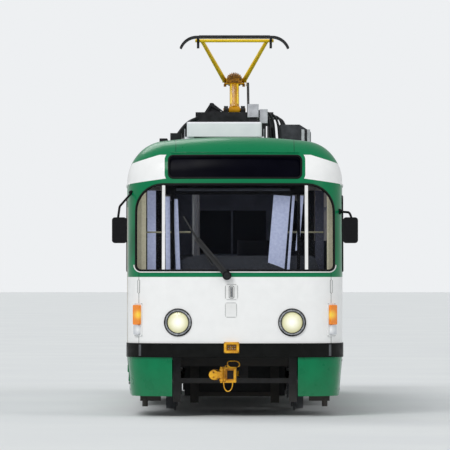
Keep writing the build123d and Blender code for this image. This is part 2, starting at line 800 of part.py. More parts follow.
# Skirts: leaning panels below the body, cut for the wheels, the doors and the couplers, with a seam
# between each panel and the next
with BuildPart() as skirt_panels:
    for inset, mode in ((0, Mode.ADD), (SKIRT_T, Mode.SUBTRACT)):
        with BuildSketch(Plane.XY.offset(BODY_BOTTOM_Z)):
            add(plan(inset))
        extrude(amount=-(BODY_BOTTOM_Z - SKIRT_Z), taper=SKIRT_LEAN, mode=mode)
    with BuildSketch(Plane.YZ):
        for y in (-BOGIE_Y, BOGIE_Y):
            with Locations((y, ARCH_TOP_Z / 2)):
                RectangleRounded(2 * ARCH_HALF, ARCH_TOP_Z, ARCH_R)
            with Locations((y, SKIRT_Z / 2)):
                Rectangle(2 * ARCH_HALF, SKIRT_Z + ARCH_R)
    extrude(amount=BODY_WIDTH, both=True, mode=Mode.SUBTRACT)
    with BuildSketch(Plane.XZ):
        with Locations((0, BODY_BOTTOM_Z / 2)):
            Rectangle(2 * SKIRT_GAP_X, BODY_BOTTOM_Z + SEAT)
    extrude(amount=BODY_LENGTH, both=True, mode=Mode.SUBTRACT)
    for _, y in DOORWAYS:
        with BuildSketch(Plane.XY.offset(STEP_LOW_Z)):
            with Locations((-BODY_WIDTH / 2, y)):
                Rectangle(BODY_WIDTH / 2, DOOR_W)
        extrude(amount=BODY_BOTTOM_Z, mode=Mode.SUBTRACT)
    with BuildSketch(Plane.XY.offset(SKIRT_Z)):
        with Locations(*[(0, bogie_y + end * ARCH_HALF) for bogie_y in (-BOGIE_Y, BOGIE_Y) for end in (-1, 1)]):
            Rectangle(2 * BODY_WIDTH, PANEL_GAP)
        with Locations(*[(-BODY_WIDTH / 2, y + end * DOOR_W / 2) for _, y in DOORWAYS for end in (-1, 1)]):
            Rectangle(BODY_WIDTH / 2, PANEL_GAP)
    extrude(amount=BODY_BOTTOM_Z - SKIRT_Z, mode=Mode.SUBTRACT)
skirt_panels.part.label = "skirt_panels"
export_step(skirt_panels.part, "parts/skirt_panels.step")

# Bumpers: a band round each end, with a notch at the front for the cable socket
with BuildPart() as bumper_strips:
    with BuildSketch(Plane.XY.offset(BODY_BOTTOM_Z)):
        add(plan(-BUMPER_PROUD))
        add(plan(-SEAT), mode=Mode.SUBTRACT)
    extrude(amount=BUMPER_TOP_Z - BODY_BOTTOM_Z)
    with BuildSketch(Plane.XY):
        Rectangle(2 * BODY_WIDTH, 2 * END_Y)
    extrude(amount=BUMPER_TOP_Z, mode=Mode.SUBTRACT)
    with BuildSketch(surface(SOCKET_X, BUMPER_TOP_Z)):
        Rectangle(SOCKET_W + 2 * SEAT, 2 * (BUMPER_TOP_Z - SOCKET_LOW_Z + SEAT))
    extrude(amount=SOCKET_OUT, both=True, mode=Mode.SUBTRACT)
bumper_strips.part.label = "bumper_strips"
export_step(bumper_strips.part, "parts/bumper_strips.step")

with BuildPart() as cable_socket:
    with BuildSketch(surface(SOCKET_X, (SOCKET_LOW_Z + SOCKET_HIGH_Z) / 2)) as frame_face:
        RectangleRounded(SOCKET_W, SOCKET_HIGH_Z - SOCKET_LOW_Z, SOCKET_R)
    extrude(amount=SOCKET_OUT)
    extrude(frame_face.sketch, amount=-BUMPER_PROUD)
    with BuildSketch(surface(SOCKET_X, (SOCKET_LOW_Z + SOCKET_HIGH_Z) / 2).offset(SOCKET_OUT)):
        Rectangle(SOCKET_W - 2 * SOCKET_SIDE_T, SOCKET_HIGH_Z - SOCKET_LOW_Z - 2 * SOCKET_RIM_T)
    extrude(amount=-SOCKET_OUT + SOCKET_FLOOR_T, mode=Mode.SUBTRACT)
    add(form(-SEAT, BODY_BOTTOM_Z), mode=Mode.SUBTRACT)
cable_socket.part.label = "cable_socket"
export_step(cable_socket.part, "parts/cable_socket.step")

# Headlamps, turned about axes square to the nose
with BuildPart() as headlamp_rims:
    for side in (-1, 1):
        seat = surface(side * HEADLAMP_X, HEADLAMP_Z)
        with BuildSketch(Plane(origin=seat.origin, x_dir=seat.x_dir, z_dir=-seat.y_dir)):
            with BuildLine():
                Polyline(
                    (HEADLAMP_R - RIM_LAP - SEAT, -WALL), (HEADLAMP_R - RIM_LAP - SEAT, RIM_FOOT),
                    (HEADLAMP_R, RIM_FOOT), (HEADLAMP_R, RIM_EDGE), (HEADLAMP_R - RIM_BEVEL, RIM_PROUD),
                    (LENS_R + RIM_LIP_W, RIM_PROUD), (LENS_R, RIM_LIP_OUT), (LENS_R, -WALL), close=True,
                )
            make_face()
        revolve(axis=Axis(seat.origin, seat.z_dir))
headlamp_rims.part.label = "headlamp_rims"
export_step(headlamp_rims.part, "parts/headlamp_rims.step")

with BuildPart() as lamp_lenses:
    for side in (-1, 1):
        seat = surface(side * HEADLAMP_X, HEADLAMP_Z)
        with BuildSketch(Plane(origin=seat.origin, x_dir=seat.x_dir, z_dir=-seat.y_dir)):
            with BuildLine():
                Line((0, -WALL), (LENS_R - SEAT, -WALL))
                Line((LENS_R - SEAT, -WALL), (LENS_R - SEAT, LENS_OUT))
                ThreePointArc((LENS_R - SEAT, LENS_OUT), (LENS_R / 2, LENS_MID), (0, LENS_OUT + LENS_DOME))
                Line((0, LENS_OUT + LENS_DOME), (0, -WALL))
            make_face()
        revolve(axis=Axis(seat.origin, seat.z_dir))
    for side in (-1, 1):
        with BuildSketch(surface(side * SIGNAL_X, MARKER_Z).offset(LAMP_PLATE_T + SEAT)):
            RectangleRounded(MARKER_W, MARKER_H, MARKER_R)
        extrude(amount=LAMP_DEPTH)
lamp_lenses.part.label = "lamp_lenses"
export_step(lamp_lenses.part, "parts/lamp_lenses.step")

# Corner lamps on backing plates
with BuildPart() as indicator_lamps:
    for side in (-1, 1):
        with BuildSketch(surface(side * SIGNAL_X, INDICATOR_Z).offset(LAMP_PLATE_T + SEAT)):
            RectangleRounded(INDICATOR_W, INDICATOR_H, INDICATOR_R)
        extrude(amount=LAMP_DEPTH)
    mirror(about=Plane.XZ)
indicator_lamps.part.label = "indicator_lamps"
export_step(indicator_lamps.part, "parts/indicator_lamps.step")

# White plates on the ends: behind the corner lamps, and on the front two flaps and two slot covers
with BuildPart() as end_plates:
    for side in (-1, 1):
        middle = surface(side * SIGNAL_X, (INDICATOR_Z + MARKER_Z) / 2 + LAMP_PLATE_RISE)
        with BuildSketch(middle.offset(-LAMP_PLATE_SUNK)):
            RectangleRounded(
                INDICATOR_W + 2 * LAMP_PLATE_SIDE, INDICATOR_H + MARKER_H + LAMP_PLATE_MORE_H, LAMP_PLATE_R
            )
        extrude(amount=LAMP_PLATE_SUNK + LAMP_PLATE_T)
    mirror(about=Plane.XZ)
    for x, z, width, height in FLAPS:
        with BuildSketch(surface(x, z).offset(-FLAP_T)):
            RectangleRounded(width, height, FLAP_R)
        extrude(amount=2 * FLAP_T)
    add(form(-SEAT, BODY_BOTTOM_Z), mode=Mode.SUBTRACT)
end_plates.part.label = "end_plates"
export_step(end_plates.part, "parts/end_plates.step")

with BuildPart() as tail_lamps:
    for side in (-1, 1):
        with BuildSketch(surface(side * SIGNAL_X, MARKER_Z).offset(LAMP_PLATE_T + SEAT)):
            RectangleRounded(MARKER_W, MARKER_H, MARKER_R)
        extrude(amount=LAMP_DEPTH)
tail_lamps.part = tail_lamps.part.rotate(Axis.Z, 180)
tail_lamps.part.label = "tail_lamps"
export_step(tail_lamps.part, "parts/tail_lamps.step")

# Mirrors: heads on bent tubes from the front corners
with BuildPart() as mirrors:
    for side, points, head_x, head_z in MIRRORS:
        start, bend, end = [Vector(x, MIRROR_Y, z) for x, z in points]
        start.Y = corner_y(start.X, start.Z)
        finish = Vector(head_x, MIRROR_HEAD_Y + MIRROR_T / 2, head_z)
        with BuildLine() as arm:
            FilletPolyline(start, bend, end, finish, radius=MIRROR_BEND_R)
        with BuildSketch(Plane(origin=arm.line @ 0, z_dir=arm.line % 0)):
            Circle(MIRROR_TUBE_R)
        sweep()
        with BuildSketch(Plane(origin=arm.line @ 0 - MIRROR_FOOT_SUNK * (arm.line % 0), z_dir=arm.line % 0)):
            Circle(MIRROR_FOOT_R)
        extrude(amount=MIRROR_FOOT_T)
        with BuildSketch(Plane.XZ.offset(-MIRROR_HEAD_Y)):
            with Locations((head_x, head_z)):
                RectangleRounded(MIRROR_W, MIRROR_H, MIRROR_R)
        extrude(amount=MIRROR_T / 2, both=True)
    add(form(-SEAT, BODY_BOTTOM_Z), mode=Mode.SUBTRACT)
mirrors.part.label = "mirrors"
export_step(mirrors.part, "parts/mirrors.step")

# Wiper: a tapered arm from a spindle under the glass, with its blade lying on the glass


def glass(x, z, out=0):
    """Point on the raked glass in front view, moved out along the tram."""
    return Vector(x, surface(x, BELT_Z).origin.Y + max(0, z - BELT_Z) * tan(radians(RAKE)) - out, z)


with BuildPart() as wiper:
    hub = glass(WIPER_X, WIPER_Z)
    with BuildSketch(Plane(origin=hub, z_dir=(0, -1, 0))):
        Circle(WIPER_HUB_R)
    extrude(amount=WIPER_HUB_HALF, both=True)
    foot = glass(WIPER_X, WIPER_Z, WIPER_OUT)
    knee = glass(*WIPER_KNEE, WIPER_OUT)
    at_foot = Plane(origin=foot, z_dir=knee - foot)
    with BuildSketch(at_foot):
        RectangleRounded(*WIPER_FOOT_SECTION)
    with BuildSketch(at_foot.offset((knee - foot).length)):
        RectangleRounded(*WIPER_KNEE_SECTION)
    loft()
    low = glass(WIPER_KNEE[0] + BLADE_TAIL[0], WIPER_KNEE[1] + BLADE_TAIL[1], BLADE_OUT)
    high = glass(*WIPER_TIP, BLADE_OUT)
    with BuildSketch(Plane(origin=low, z_dir=high - low)):
        Circle(BLADE_R)
    extrude(amount=(high - low).length)
    with BuildSketch(Plane(origin=knee, z_dir=(0, -1, 0))):
        Circle(WIPER_PIN_R)
    extrude(amount=WIPER_PIN_HALF, both=True)
    add(form(-SEAT, BODY_BOTTOM_Z), mode=Mode.SUBTRACT)
wiper.part.label = "wiper"
export_step(wiper.part, "parts/wiper.step")

# Cooling unit over the cab, on four feet
with BuildPart() as cab_cooling_unit:
    with BuildSketch(Plane.XY.offset(COOLER_LOW_Z)):
        with Locations((COOLER_X, COOLER_FRONT_Y + COOLER_LEN / 2)):
            RectangleRounded(COOLER_W, COOLER_LEN, COOLER_R)
    extrude(amount=COOLER_H)
    fillet(cab_cooling_unit.faces().sort_by(Axis.Z)[-1].edges(), COOLER_LID_R)
    with BuildSketch(Plane.XY.offset(COOLER_LOW_Z)):
        with Locations((COOLER_X, COOLER_FRONT_Y + COOLER_LEN / 2)):
            with GridLocations(COOLER_W - 2 * COOLER_FOOT_SIDE, COOLER_LEN - 2 * COOLER_FOOT_END, 2, 2):
                Rectangle(COOLER_FOOT_W, COOLER_FOOT_LEN)
    extrude(amount=-2 * (COOLER_LOW_Z - roof_height(COOLER_W)))
    add(crown(SEAT), mode=Mode.SUBTRACT)
cab_cooling_unit.part.label = "cab_cooling_unit"
export_step(cab_cooling_unit.part, "parts/cab_cooling_unit.step")

# Switch boxes behind the cooling unit, and the dark stands under them
with BuildPart() as roof_switch_boxes:
    for x, front, low, high, width, length in SWITCH_BOXES:
        with BuildSketch(Plane.XY.offset(low)):
            with Locations((x, front + length / 2)):
                RectangleRounded(width, length, SWITCH_BOX_R)
        extrude(amount=high - low)
roof_switch_boxes.part.label = "roof_switch_boxes"
export_step(roof_switch_boxes.part, "parts/roof_switch_boxes.step")

with BuildPart() as roof_stands:
    for x, front, low, high, width, length in SWITCH_BOXES:
        with BuildSketch(Plane.XY.offset(low - SEAT)):
            with Locations((x, front + length / 2)):
                Rectangle(width - 2 * STAND_SIDE, length - 2 * STAND_END)
        extrude(amount=-(low - roof_height(BODY_WIDTH / 2)))
    with BuildSketch(Plane.XY.offset(roof_height(BODY_WIDTH / 2))):
        with Locations((LOW_BOX_X, LOW_BOX_Y)):
            RectangleRounded(LOW_BOX_W, LOW_BOX_LEN, LOW_BOX_R)
        with Locations((WALKWAY_X, WALKWAY_Y)):
            Rectangle(WALKWAY_W, WALKWAY_LEN)
    extrude(amount=LOW_BOX_TOP_Z - roof_height(BODY_WIDTH / 2))
    with BuildSketch(Plane.XY.offset(WALKWAY_TOP_Z)):
        with Locations((WALKWAY_X, WALKWAY_Y)):
            Rectangle(WALKWAY_W + 2 * SEAT, WALKWAY_LEN + 2 * SEAT)
    extrude(amount=2 * (LOW_BOX_TOP_Z - WALKWAY_TOP_Z), mode=Mode.SUBTRACT)
    add(crown(SEAT), mode=Mode.SUBTRACT)
roof_stands.part.label = "roof_stands"
export_step(roof_stands.part, "parts/roof_stands.step")

# Resistor box: a flat top that slopes down on its outer side
with BuildPart() as resistor_box:
    with BuildSketch(Plane.XZ.offset(-RESISTOR_FRONT_Y)):
        with BuildLine():
            Polyline(
                (RESISTOR_IN_X, RESISTOR_LOW_Z), (RESISTOR_IN_X, RESISTOR_TOP_Z),
                (RESISTOR_RIDGE_X, RESISTOR_TOP_Z), (RESISTOR_OUT_X, RESISTOR_EDGE_Z),
                (RESISTOR_OUT_X, RESISTOR_LOW_Z), close=True,
            )
        make_face()
    extrude(amount=-RESISTOR_LEN)
    for i in range(VENTS):
        with BuildSketch(Plane.XZ.offset(-RESISTOR_FRONT_Y - VENT_START - i * VENT_PITCH)):
            with BuildLine():
                Polyline(*VENT, close=True)
            make_face()
        extrude(amount=-VENT_W, mode=Mode.SUBTRACT)
    add(form(-SEAT, BODY_BOTTOM_Z), mode=Mode.SUBTRACT)
resistor_box.part.label = "resistor_box"
export_step(resistor_box.part, "parts/resistor_box.step")

# Pantograph base: a tube frame with two inner rails, arm bearings, rod lugs and a braced stop
with BuildPart() as pantograph_base:
    with BuildSketch(Plane.XY.offset(PAN_FRAME_Z)):
        with Locations((0, (PAN_FRAME_FRONT + PAN_FRAME_REAR) / 2)):
            Rectangle(2 * PAN_FRAME_X + PAN_TUBE, PAN_FRAME_REAR - PAN_FRAME_FRONT + PAN_TUBE)
            Rectangle(
                2 * PAN_FRAME_X - PAN_TUBE, PAN_FRAME_REAR - PAN_FRAME_FRONT - PAN_TUBE, mode=Mode.SUBTRACT
            )
            with Locations((-PAN_RAIL_X, 0), (PAN_RAIL_X, 0)):
                Rectangle(PAN_TUBE, PAN_FRAME_REAR - PAN_FRAME_FRONT)
    extrude(amount=PAN_TUBE)
    for side in (-1, 1):
        with BuildSketch(Plane.YZ.offset(side * PAN_RAIL_X)):
            with Locations((PAN_Y, PAN_Z)):
                Circle(PAN_BEARING_R)
            with Locations((PAN_Y, PAN_TUBE_TOP - PAN_BEARING_SUNK)):
                Rectangle(PAN_BEARING_W, PAN_BEARING_H)
            with Locations((PAN_Y, PAN_Z)):
                Circle(PAN_SHAFT_R + RUNNING, mode=Mode.SUBTRACT)
        extrude(amount=PAN_BEARING_HALF, both=True)
    for lug_x in (ROD_X - ROD_LUG_OUT, ROD_X + ROD_LUG_OUT):
        with BuildSketch(Plane.YZ.offset(lug_x)):
            with Locations(ROD_FOOT):
                Circle(ROD_LUG_R)
            with Locations((ROD_FOOT[0] - ROD_ARM_BACK, PAN_FRAME_Z - ROD_ARM_DOWN)):
                Rectangle(ROD_ARM_LEN, ROD_ARM_H)
        extrude(amount=ROD_LUG_HALF, both=True)
    with BuildSketch(Plane.YZ.offset(ROD_X - ROD_PIN_HALF)):
        with Locations(ROD_FOOT):
            Circle(ROD_PIN_R)
    extrude(amount=2 * ROD_PIN_HALF)
    with BuildSketch(Plane.XZ.offset(-PAN_FRAME_FRONT - STOP_T / 2)):
        with BuildLine():
            Polyline(
                (STOP_X[0], PAN_TUBE_TOP - STOP_SUNK), (STOP_X[1], STOP_TOP_Z), (STOP_X[2], STOP_TOP_Z),
                (STOP_X[3], PAN_TUBE_TOP - STOP_SUNK), close=True,
            )
        make_face()
        with BuildLine():
            Polyline(
                (STOP_HOLE_X[0], PAN_TUBE_TOP + STOP_FLOOR), (STOP_HOLE_X[1], STOP_HOLE_Z),
                (STOP_HOLE_X[2], PAN_TUBE_TOP + STOP_FLOOR), close=True,
            )
        make_face(mode=Mode.SUBTRACT)
    extrude(amount=STOP_T)
pantograph_base.part.label = "pantograph_base"
export_step(pantograph_base.part, "parts/pantograph_base.step")

# Ribbed insulators between the roof and the pantograph's base
with BuildPart() as insulator:
    with BuildSketch(Plane.XZ):
        with Locations((CORE_R / 2, CORE_MID_Z)):
            Rectangle(CORE_R, 2 * (PAN_FRAME_Z - SEAT - CORE_MID_Z))
        with Locations((INSULATOR_FOOT_R / 2, INSULATOR_FOOT_Z)):
            Rectangle(INSULATOR_FOOT_R, INSULATOR_FOOT_H)
        for i in range(RIBS):
            with Locations((0, RIB_LOW_Z + RIB_PITCH * i)):
                with BuildLine():
                    Polyline(
                        (0, 0), (RIB_R, 0), (RIB_R, RIB_EDGE_T), (CORE_R, RIB_H), (0, RIB_H), close=True
                    )
                make_face()
    revolve(axis=Axis.Z)

with BuildPart() as pantograph_insulators:
    for y in INSULATOR_Y:
        for x in (-PAN_FRAME_X, PAN_FRAME_X):
            add(insulator.part.moved(Location((x, y, 0))))
    add(crown(SEAT), mode=Mode.SUBTRACT)
pantograph_insulators.part.label = "pantograph_insulators"
export_step(pantograph_insulators.part, "parts/pantograph_insulators.step")

# Pantograph arms: a thick lower tube, a V of two thin tubes, and a level head with two bows
with BuildPart() as pantograph_lower_arm:
    with BuildSketch(Plane(origin=LOWER_AT, x_dir=(1, 0, 0), z_dir=ELBOW_AT - LOWER_AT)):
        Circle(LOWER_TUBE_R)
    extrude(amount=(ELBOW_AT - LOWER_AT).length)
    for at, radius, half in ((LOWER_AT, PAN_FOOT_R, PAN_FOOT_HALF), (ELBOW_AT, ELBOW_R, ELBOW_HALF)):
        with BuildSketch(Plane(origin=at, x_dir=(0, 1, 0), z_dir=(1, 0, 0))):
            Circle(radius)
        extrude(amount=half, both=True)
    with BuildSketch(Plane(origin=LOWER_AT, x_dir=(0, 1, 0), z_dir=(1, 0, 0))):
        Circle(PAN_SHAFT_R)
    extrude(amount=PAN_RAIL_X + PAN_SHAFT_OVER, both=True)
    with BuildSketch(Plane(origin=ELBOW_AT, x_dir=(0, 1, 0), z_dir=(1, 0, 0))):
        Circle(ELBOW_SHAFT_R + RUNNING)
    extrude(amount=PAN_RAIL_X, both=True, mode=Mode.SUBTRACT)
pantograph_lower_arm.part.label = "pantograph_lower_arm"
export_step(pantograph_lower_arm.part, "parts/pantograph_lower_arm.step")

with BuildPart() as pantograph_upper_arm:
    with BuildSketch(Plane(origin=ELBOW_AT, x_dir=(0, 1, 0), z_dir=(1, 0, 0))):
        Circle(ELBOW_SHAFT_R)
    extrude(amount=UPPER_LOW_X + ELBOW_SHAFT_OVER, both=True)
    for side in (-1, 1):
        low = ELBOW_AT + Vector(side * UPPER_LOW_X, 0, 0)
        high = HEAD_AT + Vector(side * UPPER_HIGH_X, 0, 0)
        with BuildSketch(Plane(origin=low, z_dir=high - low)):
            Circle(UPPER_TUBE_R)
        with BuildSketch(Plane(origin=high, z_dir=high - low)):
            Circle(UPPER_END_R)
        loft()
    with BuildSketch(Plane(origin=HEAD_AT, x_dir=(0, 1, 0), z_dir=(1, 0, 0))):
        Circle(APEX_R)
    extrude(amount=BOW_HALF + APEX_OVER, both=True)
    lever_at = ELBOW_AT + Vector(UPPER_LOW_X + LEVER_OUT, 0, 0)
    with BuildSketch(Plane(origin=lever_at, x_dir=(0, 1, 0), z_dir=(1, 0, 0))):
        Circle(ELBOW_SHAFT_R + LEVER_EDGE)
        with Locations((LEVER_Y, LEVER_Z)):
            Circle(LEVER_EYE_R)
        with BuildLine():
            Polyline(
                (-LEVER_HALF, 0), (LEVER_HALF, 0), (LEVER_Y + LEVER_END_HALF, LEVER_Z),
                (LEVER_Y - LEVER_END_HALF, LEVER_Z), close=True,
            )
        make_face()
    extrude(amount=LEVER_T)
pantograph_upper_arm.part.label = "pantograph_upper_arm"
export_step(pantograph_upper_arm.part, "parts/pantograph_upper_arm.step")

with BuildPart() as pantograph_head:
    for y in (PAN_HEAD_Y - BOW_GAP, PAN_HEAD_Y + BOW_GAP):
        with BuildSketch(Plane.XZ.offset(-y)):
            with BuildLine():
                top = Line((0, BOW_TOP_Z), (BOW_HALF, BOW_TOP_Z))
                horn = JernArc(top @ 1, (1, 0), HORN_R, -degrees(HORN_A))
                low = Line((0, BOW_TOP_Z - BOW_T), (BOW_HALF, BOW_TOP_Z - BOW_T))
                under = JernArc(low @ 1, (1, 0), HORN_R - BOW_T, -degrees(HORN_A))
                Line(horn @ 1, under @ 1)
                mirror(about=Plane.YZ)
            make_face()
        extrude(amount=BOW_W / 2, both=True)
    for side in (-1, 1):
        with BuildSketch(Plane.YZ.offset(side * (BOW_HALF - BOW_TIE_T / 2))):
            with Locations((PAN_HEAD_Y, BOW_TOP_Z - BOW_T - BOW_TIE_DOWN)):
                Rectangle(2 * BOW_GAP, BOW_TIE_H)
            with Locations((PAN_HEAD_Y, PAN_HEAD_Z)):
                Circle(BOW_EYE_R)
                Circle(APEX_R + RUNNING, mode=Mode.SUBTRACT)
        extrude(amount=BOW_TIE_T / 2, both=True)
pantograph_head.part.label = "pantograph_head"
export_step(pantograph_head.part, "parts/pantograph_head.step")

with BuildPart() as pantograph_rod:
    foot = Vector(ROD_X, *ROD_FOOT)
    top = Vector(ROD_X, *ROD_TOP)
    with BuildSketch(Plane(origin=foot, z_dir=top - foot)):
        Circle(ROD_R)
    extrude(amount=(top - foot).length)
    for at in (ROD_FOOT, ROD_TOP):
        with BuildSketch(Plane.YZ.offset(ROD_X)):
            with Locations(at):
                Circle(ROD_EYE_R)
        extrude(amount=ROD_EYE_HALF, both=True)
        with BuildSketch(Plane.YZ.offset(ROD_X)):
            with Locations(at):
                Circle(ROD_PIN_R + RUNNING)
        extrude(amount=3 * ROD_EYE_HALF, both=True, mode=Mode.SUBTRACT)
pantograph_rod.part.label = "pantograph_rod"
export_step(pantograph_rod.part, "parts/pantograph_rod.step")

# Driver's desk under the windscreen, the instrument hood, and the partition behind the seat
with BuildPart() as cab_fittings:
    with BuildSketch(Plane.XY.offset(DESK_LOW_Z)):
        add(plan(WALL + SEAT))
        Rectangle(2 * BODY_WIDTH, -2 * DESK_BACK_Y, mode=Mode.SUBTRACT)
        with Locations((0, BODY_LENGTH / 2)):
            Rectangle(2 * BODY_WIDTH, BODY_LENGTH, mode=Mode.SUBTRACT)
    extrude(amount=DESK_TOP_Z - DESK_LOW_Z)
    with BuildSketch(Plane.XY.offset(FLOOR_Z)):
        with Locations((DESK_LEG_X, DESK_BACK_Y - DESK_LEG_IN), (-DESK_LEG_X, DESK_BACK_Y - DESK_LEG_IN)):
            Rectangle(DESK_LEG_W, DESK_LEG_LEN)
    extrude(amount=DESK_LOW_Z - FLOOR_Z)
    with BuildSketch(Plane.XZ.offset(-DESK_BACK_Y + HOOD_LAP)):
        with BuildLine():
            ThreePointArc((-HOOD_HALF, DESK_TOP_Z), (0, HOOD_TOP_Z), (HOOD_HALF, DESK_TOP_Z))
            Line((-HOOD_HALF, DESK_TOP_Z), (HOOD_HALF, DESK_TOP_Z))
        make_face()
    extrude(amount=HOOD_LEN)
    with BuildSketch(Plane.XY.offset(FLOOR_Z)):
        for x, y, across, along in PARTITION:
            with Locations((x, y)):
                Rectangle(across, along)
    extrude(amount=PARTITION_H)
cab_fittings.part.label = "cab_fittings"
export_step(cab_fittings.part, "parts/cab_fittings.step")

# Seats, all facing forward, the driver's seat first
with BuildPart() as seats:
    for x, y in SEATS:
        with BuildSketch(Plane.YZ.offset(x)):
            with BuildLine():
                Polyline(
                    (y, FLOOR_Z + SEAT_H - SEAT_T), (y, FLOOR_Z + SEAT_H),
                    (y + SEAT_DEPTH - SEAT_BEND, FLOOR_Z + SEAT_H - SEAT_DIP),
                    (y + SEAT_DEPTH + SEAT_BACK_LEAN, FLOOR_Z + SEAT_BACK),
                    (y + SEAT_DEPTH + SEAT_BACK_LEAN + SEAT_BACK_T, FLOOR_Z + SEAT_BACK),
                    (y + SEAT_DEPTH, FLOOR_Z + SEAT_H - SEAT_T), close=True,
                )
            make_face()
        extrude(amount=SEAT_W / 2, both=True)
        with BuildSketch(Plane.XY.offset(FLOOR_Z)):
            with Locations((x, y + SEAT_DEPTH / 2)):
                Rectangle(SEAT_POST_W, SEAT_POST_LEN)
        extrude(amount=SEAT_H - SEAT_T + SEAT_POST_LAP)
seats.part.label = "seats"
export_step(seats.part, "parts/seats.step")

# Grab poles from floor to ceiling beside the doorways
with BuildPart() as grab_poles:
    with BuildSketch(Plane.XY.offset(FLOOR_Z)):
        for _, y in DOORWAYS:
            with Locations((-POLE_X, y - DOOR_W / 2), (-POLE_X, y + DOOR_W / 2)):
                Circle(POLE_R)
    extrude(amount=ROOF_Z)
    add(crown(-WALL - SEAT), mode=Mode.INTERSECT)
grab_poles.part.label = "grab_poles"
export_step(grab_poles.part, "parts/grab_poles.step")

# Equipment boxes under the floor between the bogies
with BuildPart() as underfloor_boxes:
    for x, width, near, far, height in FLOOR_BOXES:
        with BuildSketch(Plane.XY.offset(FLOOR_LOW_Z - height)):
            with Locations((x, (near + far) / 2)):
                RectangleRounded(width, far - near, FLOOR_BOX_R)
        extrude(amount=height)
    add(underframe.part, mode=Mode.SUBTRACT)
underfloor_boxes.part.label = "underfloor_boxes"
export_step(underfloor_boxes.part, "parts/underfloor_boxes.step")

# Towing gate at each end: posts and crossbar, and the drawbar's bracket and pin
with BuildPart() as towing_frame:
    with BuildSketch(Plane.XZ.offset(-GATE_Y)):
        for x in (-GATE_X, GATE_X):
            with Locations((x, (GATE_LOW_Z + FLOOR_LOW_Z - SOLE_H) / 2)):
                Rectangle(GATE_POST_W, FLOOR_LOW_Z - GATE_LOW_Z + SOLE_H)
        with Locations((0, GATE_BAR_Z)):
            Rectangle(2 * GATE_X, GATE_BAR_H)
    extrude(amount=GATE_T / 2, both=True)
    with BuildSketch(Plane.XZ.offset(-DRAW_PIVOT_Y - BRACKET_BACK)):
        with Locations((0, (COUPLER_Z + FLOOR_LOW_Z - BRACKET_LOW) / 2)):
            Rectangle(BRACKET_W, FLOOR_LOW_Z - COUPLER_Z + BRACKET_LOW)
    extrude(amount=BRACKET_T)
    for low in (COUPLER_Z - DRAW_H / 2 - YOKE_GAP - YOKE_T, COUPLER_Z + DRAW_H / 2 + YOKE_GAP):
        with BuildSketch(Plane.XY.offset(low)):
            with Locations((0, DRAW_PIVOT_Y)):
                Circle(YOKE_R)
            with Locations((0, DRAW_PIVOT_Y + YOKE_R)):
                Rectangle(2 * YOKE_R, 2 * YOKE_R)
        extrude(amount=YOKE_T)
    with BuildSketch(Plane.XY.offset(COUPLER_Z - DRAW_H / 2 - YOKE_GAP - YOKE_T)):
        with Locations((0, DRAW_PIVOT_Y)):
            Circle(DRAW_PIN_R)
    extrude(amount=DRAW_H + 2 * (YOKE_GAP + YOKE_T))
    mirror(about=Plane.XZ)
    add(underframe.part, mode=Mode.SUBTRACT)
towing_frame.part.label = "towing_frame"
export_step(towing_frame.part, "parts/towing_frame.step")

# Guards ahead of the bogies: a bar on two legs, and short hangers behind the end skirts with pegs
with BuildPart() as track_guards:
    with BuildSketch(Plane.XZ.offset(-GUARD_Y)):
        with Locations((-GUARD_LEG_X, 0), (GUARD_LEG_X, 0)):
            with Locations((0, (GUARD_LOW_Z + FLOOR_LOW_Z) / 2)):
                Rectangle(GUARD_LEG_W, FLOOR_LOW_Z - GUARD_LOW_Z)
        with Locations((0, GUARD_BAR_Z)):
            Rectangle(2 * GUARD_LEG_X, GUARD_BAR_H)
    extrude(amount=GUARD_T)
    with BuildSketch(Plane.XZ.offset(-HANGER_Y)):
        for side in (-1, 1):
            with Locations((side * HANGER_X, HANGER_Z)):
                Rectangle(HANGER_W, HANGER_H)
            with Locations((side * HANGER_X, (HANGER_Z + FLOOR_LOW_Z) / 2)):
                Rectangle(GUARD_T, FLOOR_LOW_Z - HANGER_Z)
    extrude(amount=GUARD_T)
    with BuildSketch(Plane.XY.offset(PEG_LOW_Z)):
        with Locations((-PEG_X, HANGER_Y - GUARD_T / 2), (PEG_X, HANGER_Y - GUARD_T / 2)):
            Circle(PEG_R)
    extrude(amount=HANGER_Z - PEG_LOW_Z)
    mirror(about=Plane.XZ)
    add(underframe.part, mode=Mode.SUBTRACT)
track_guards.part.label = "track_guards"
export_step(track_guards.part, "parts/track_guards.step")

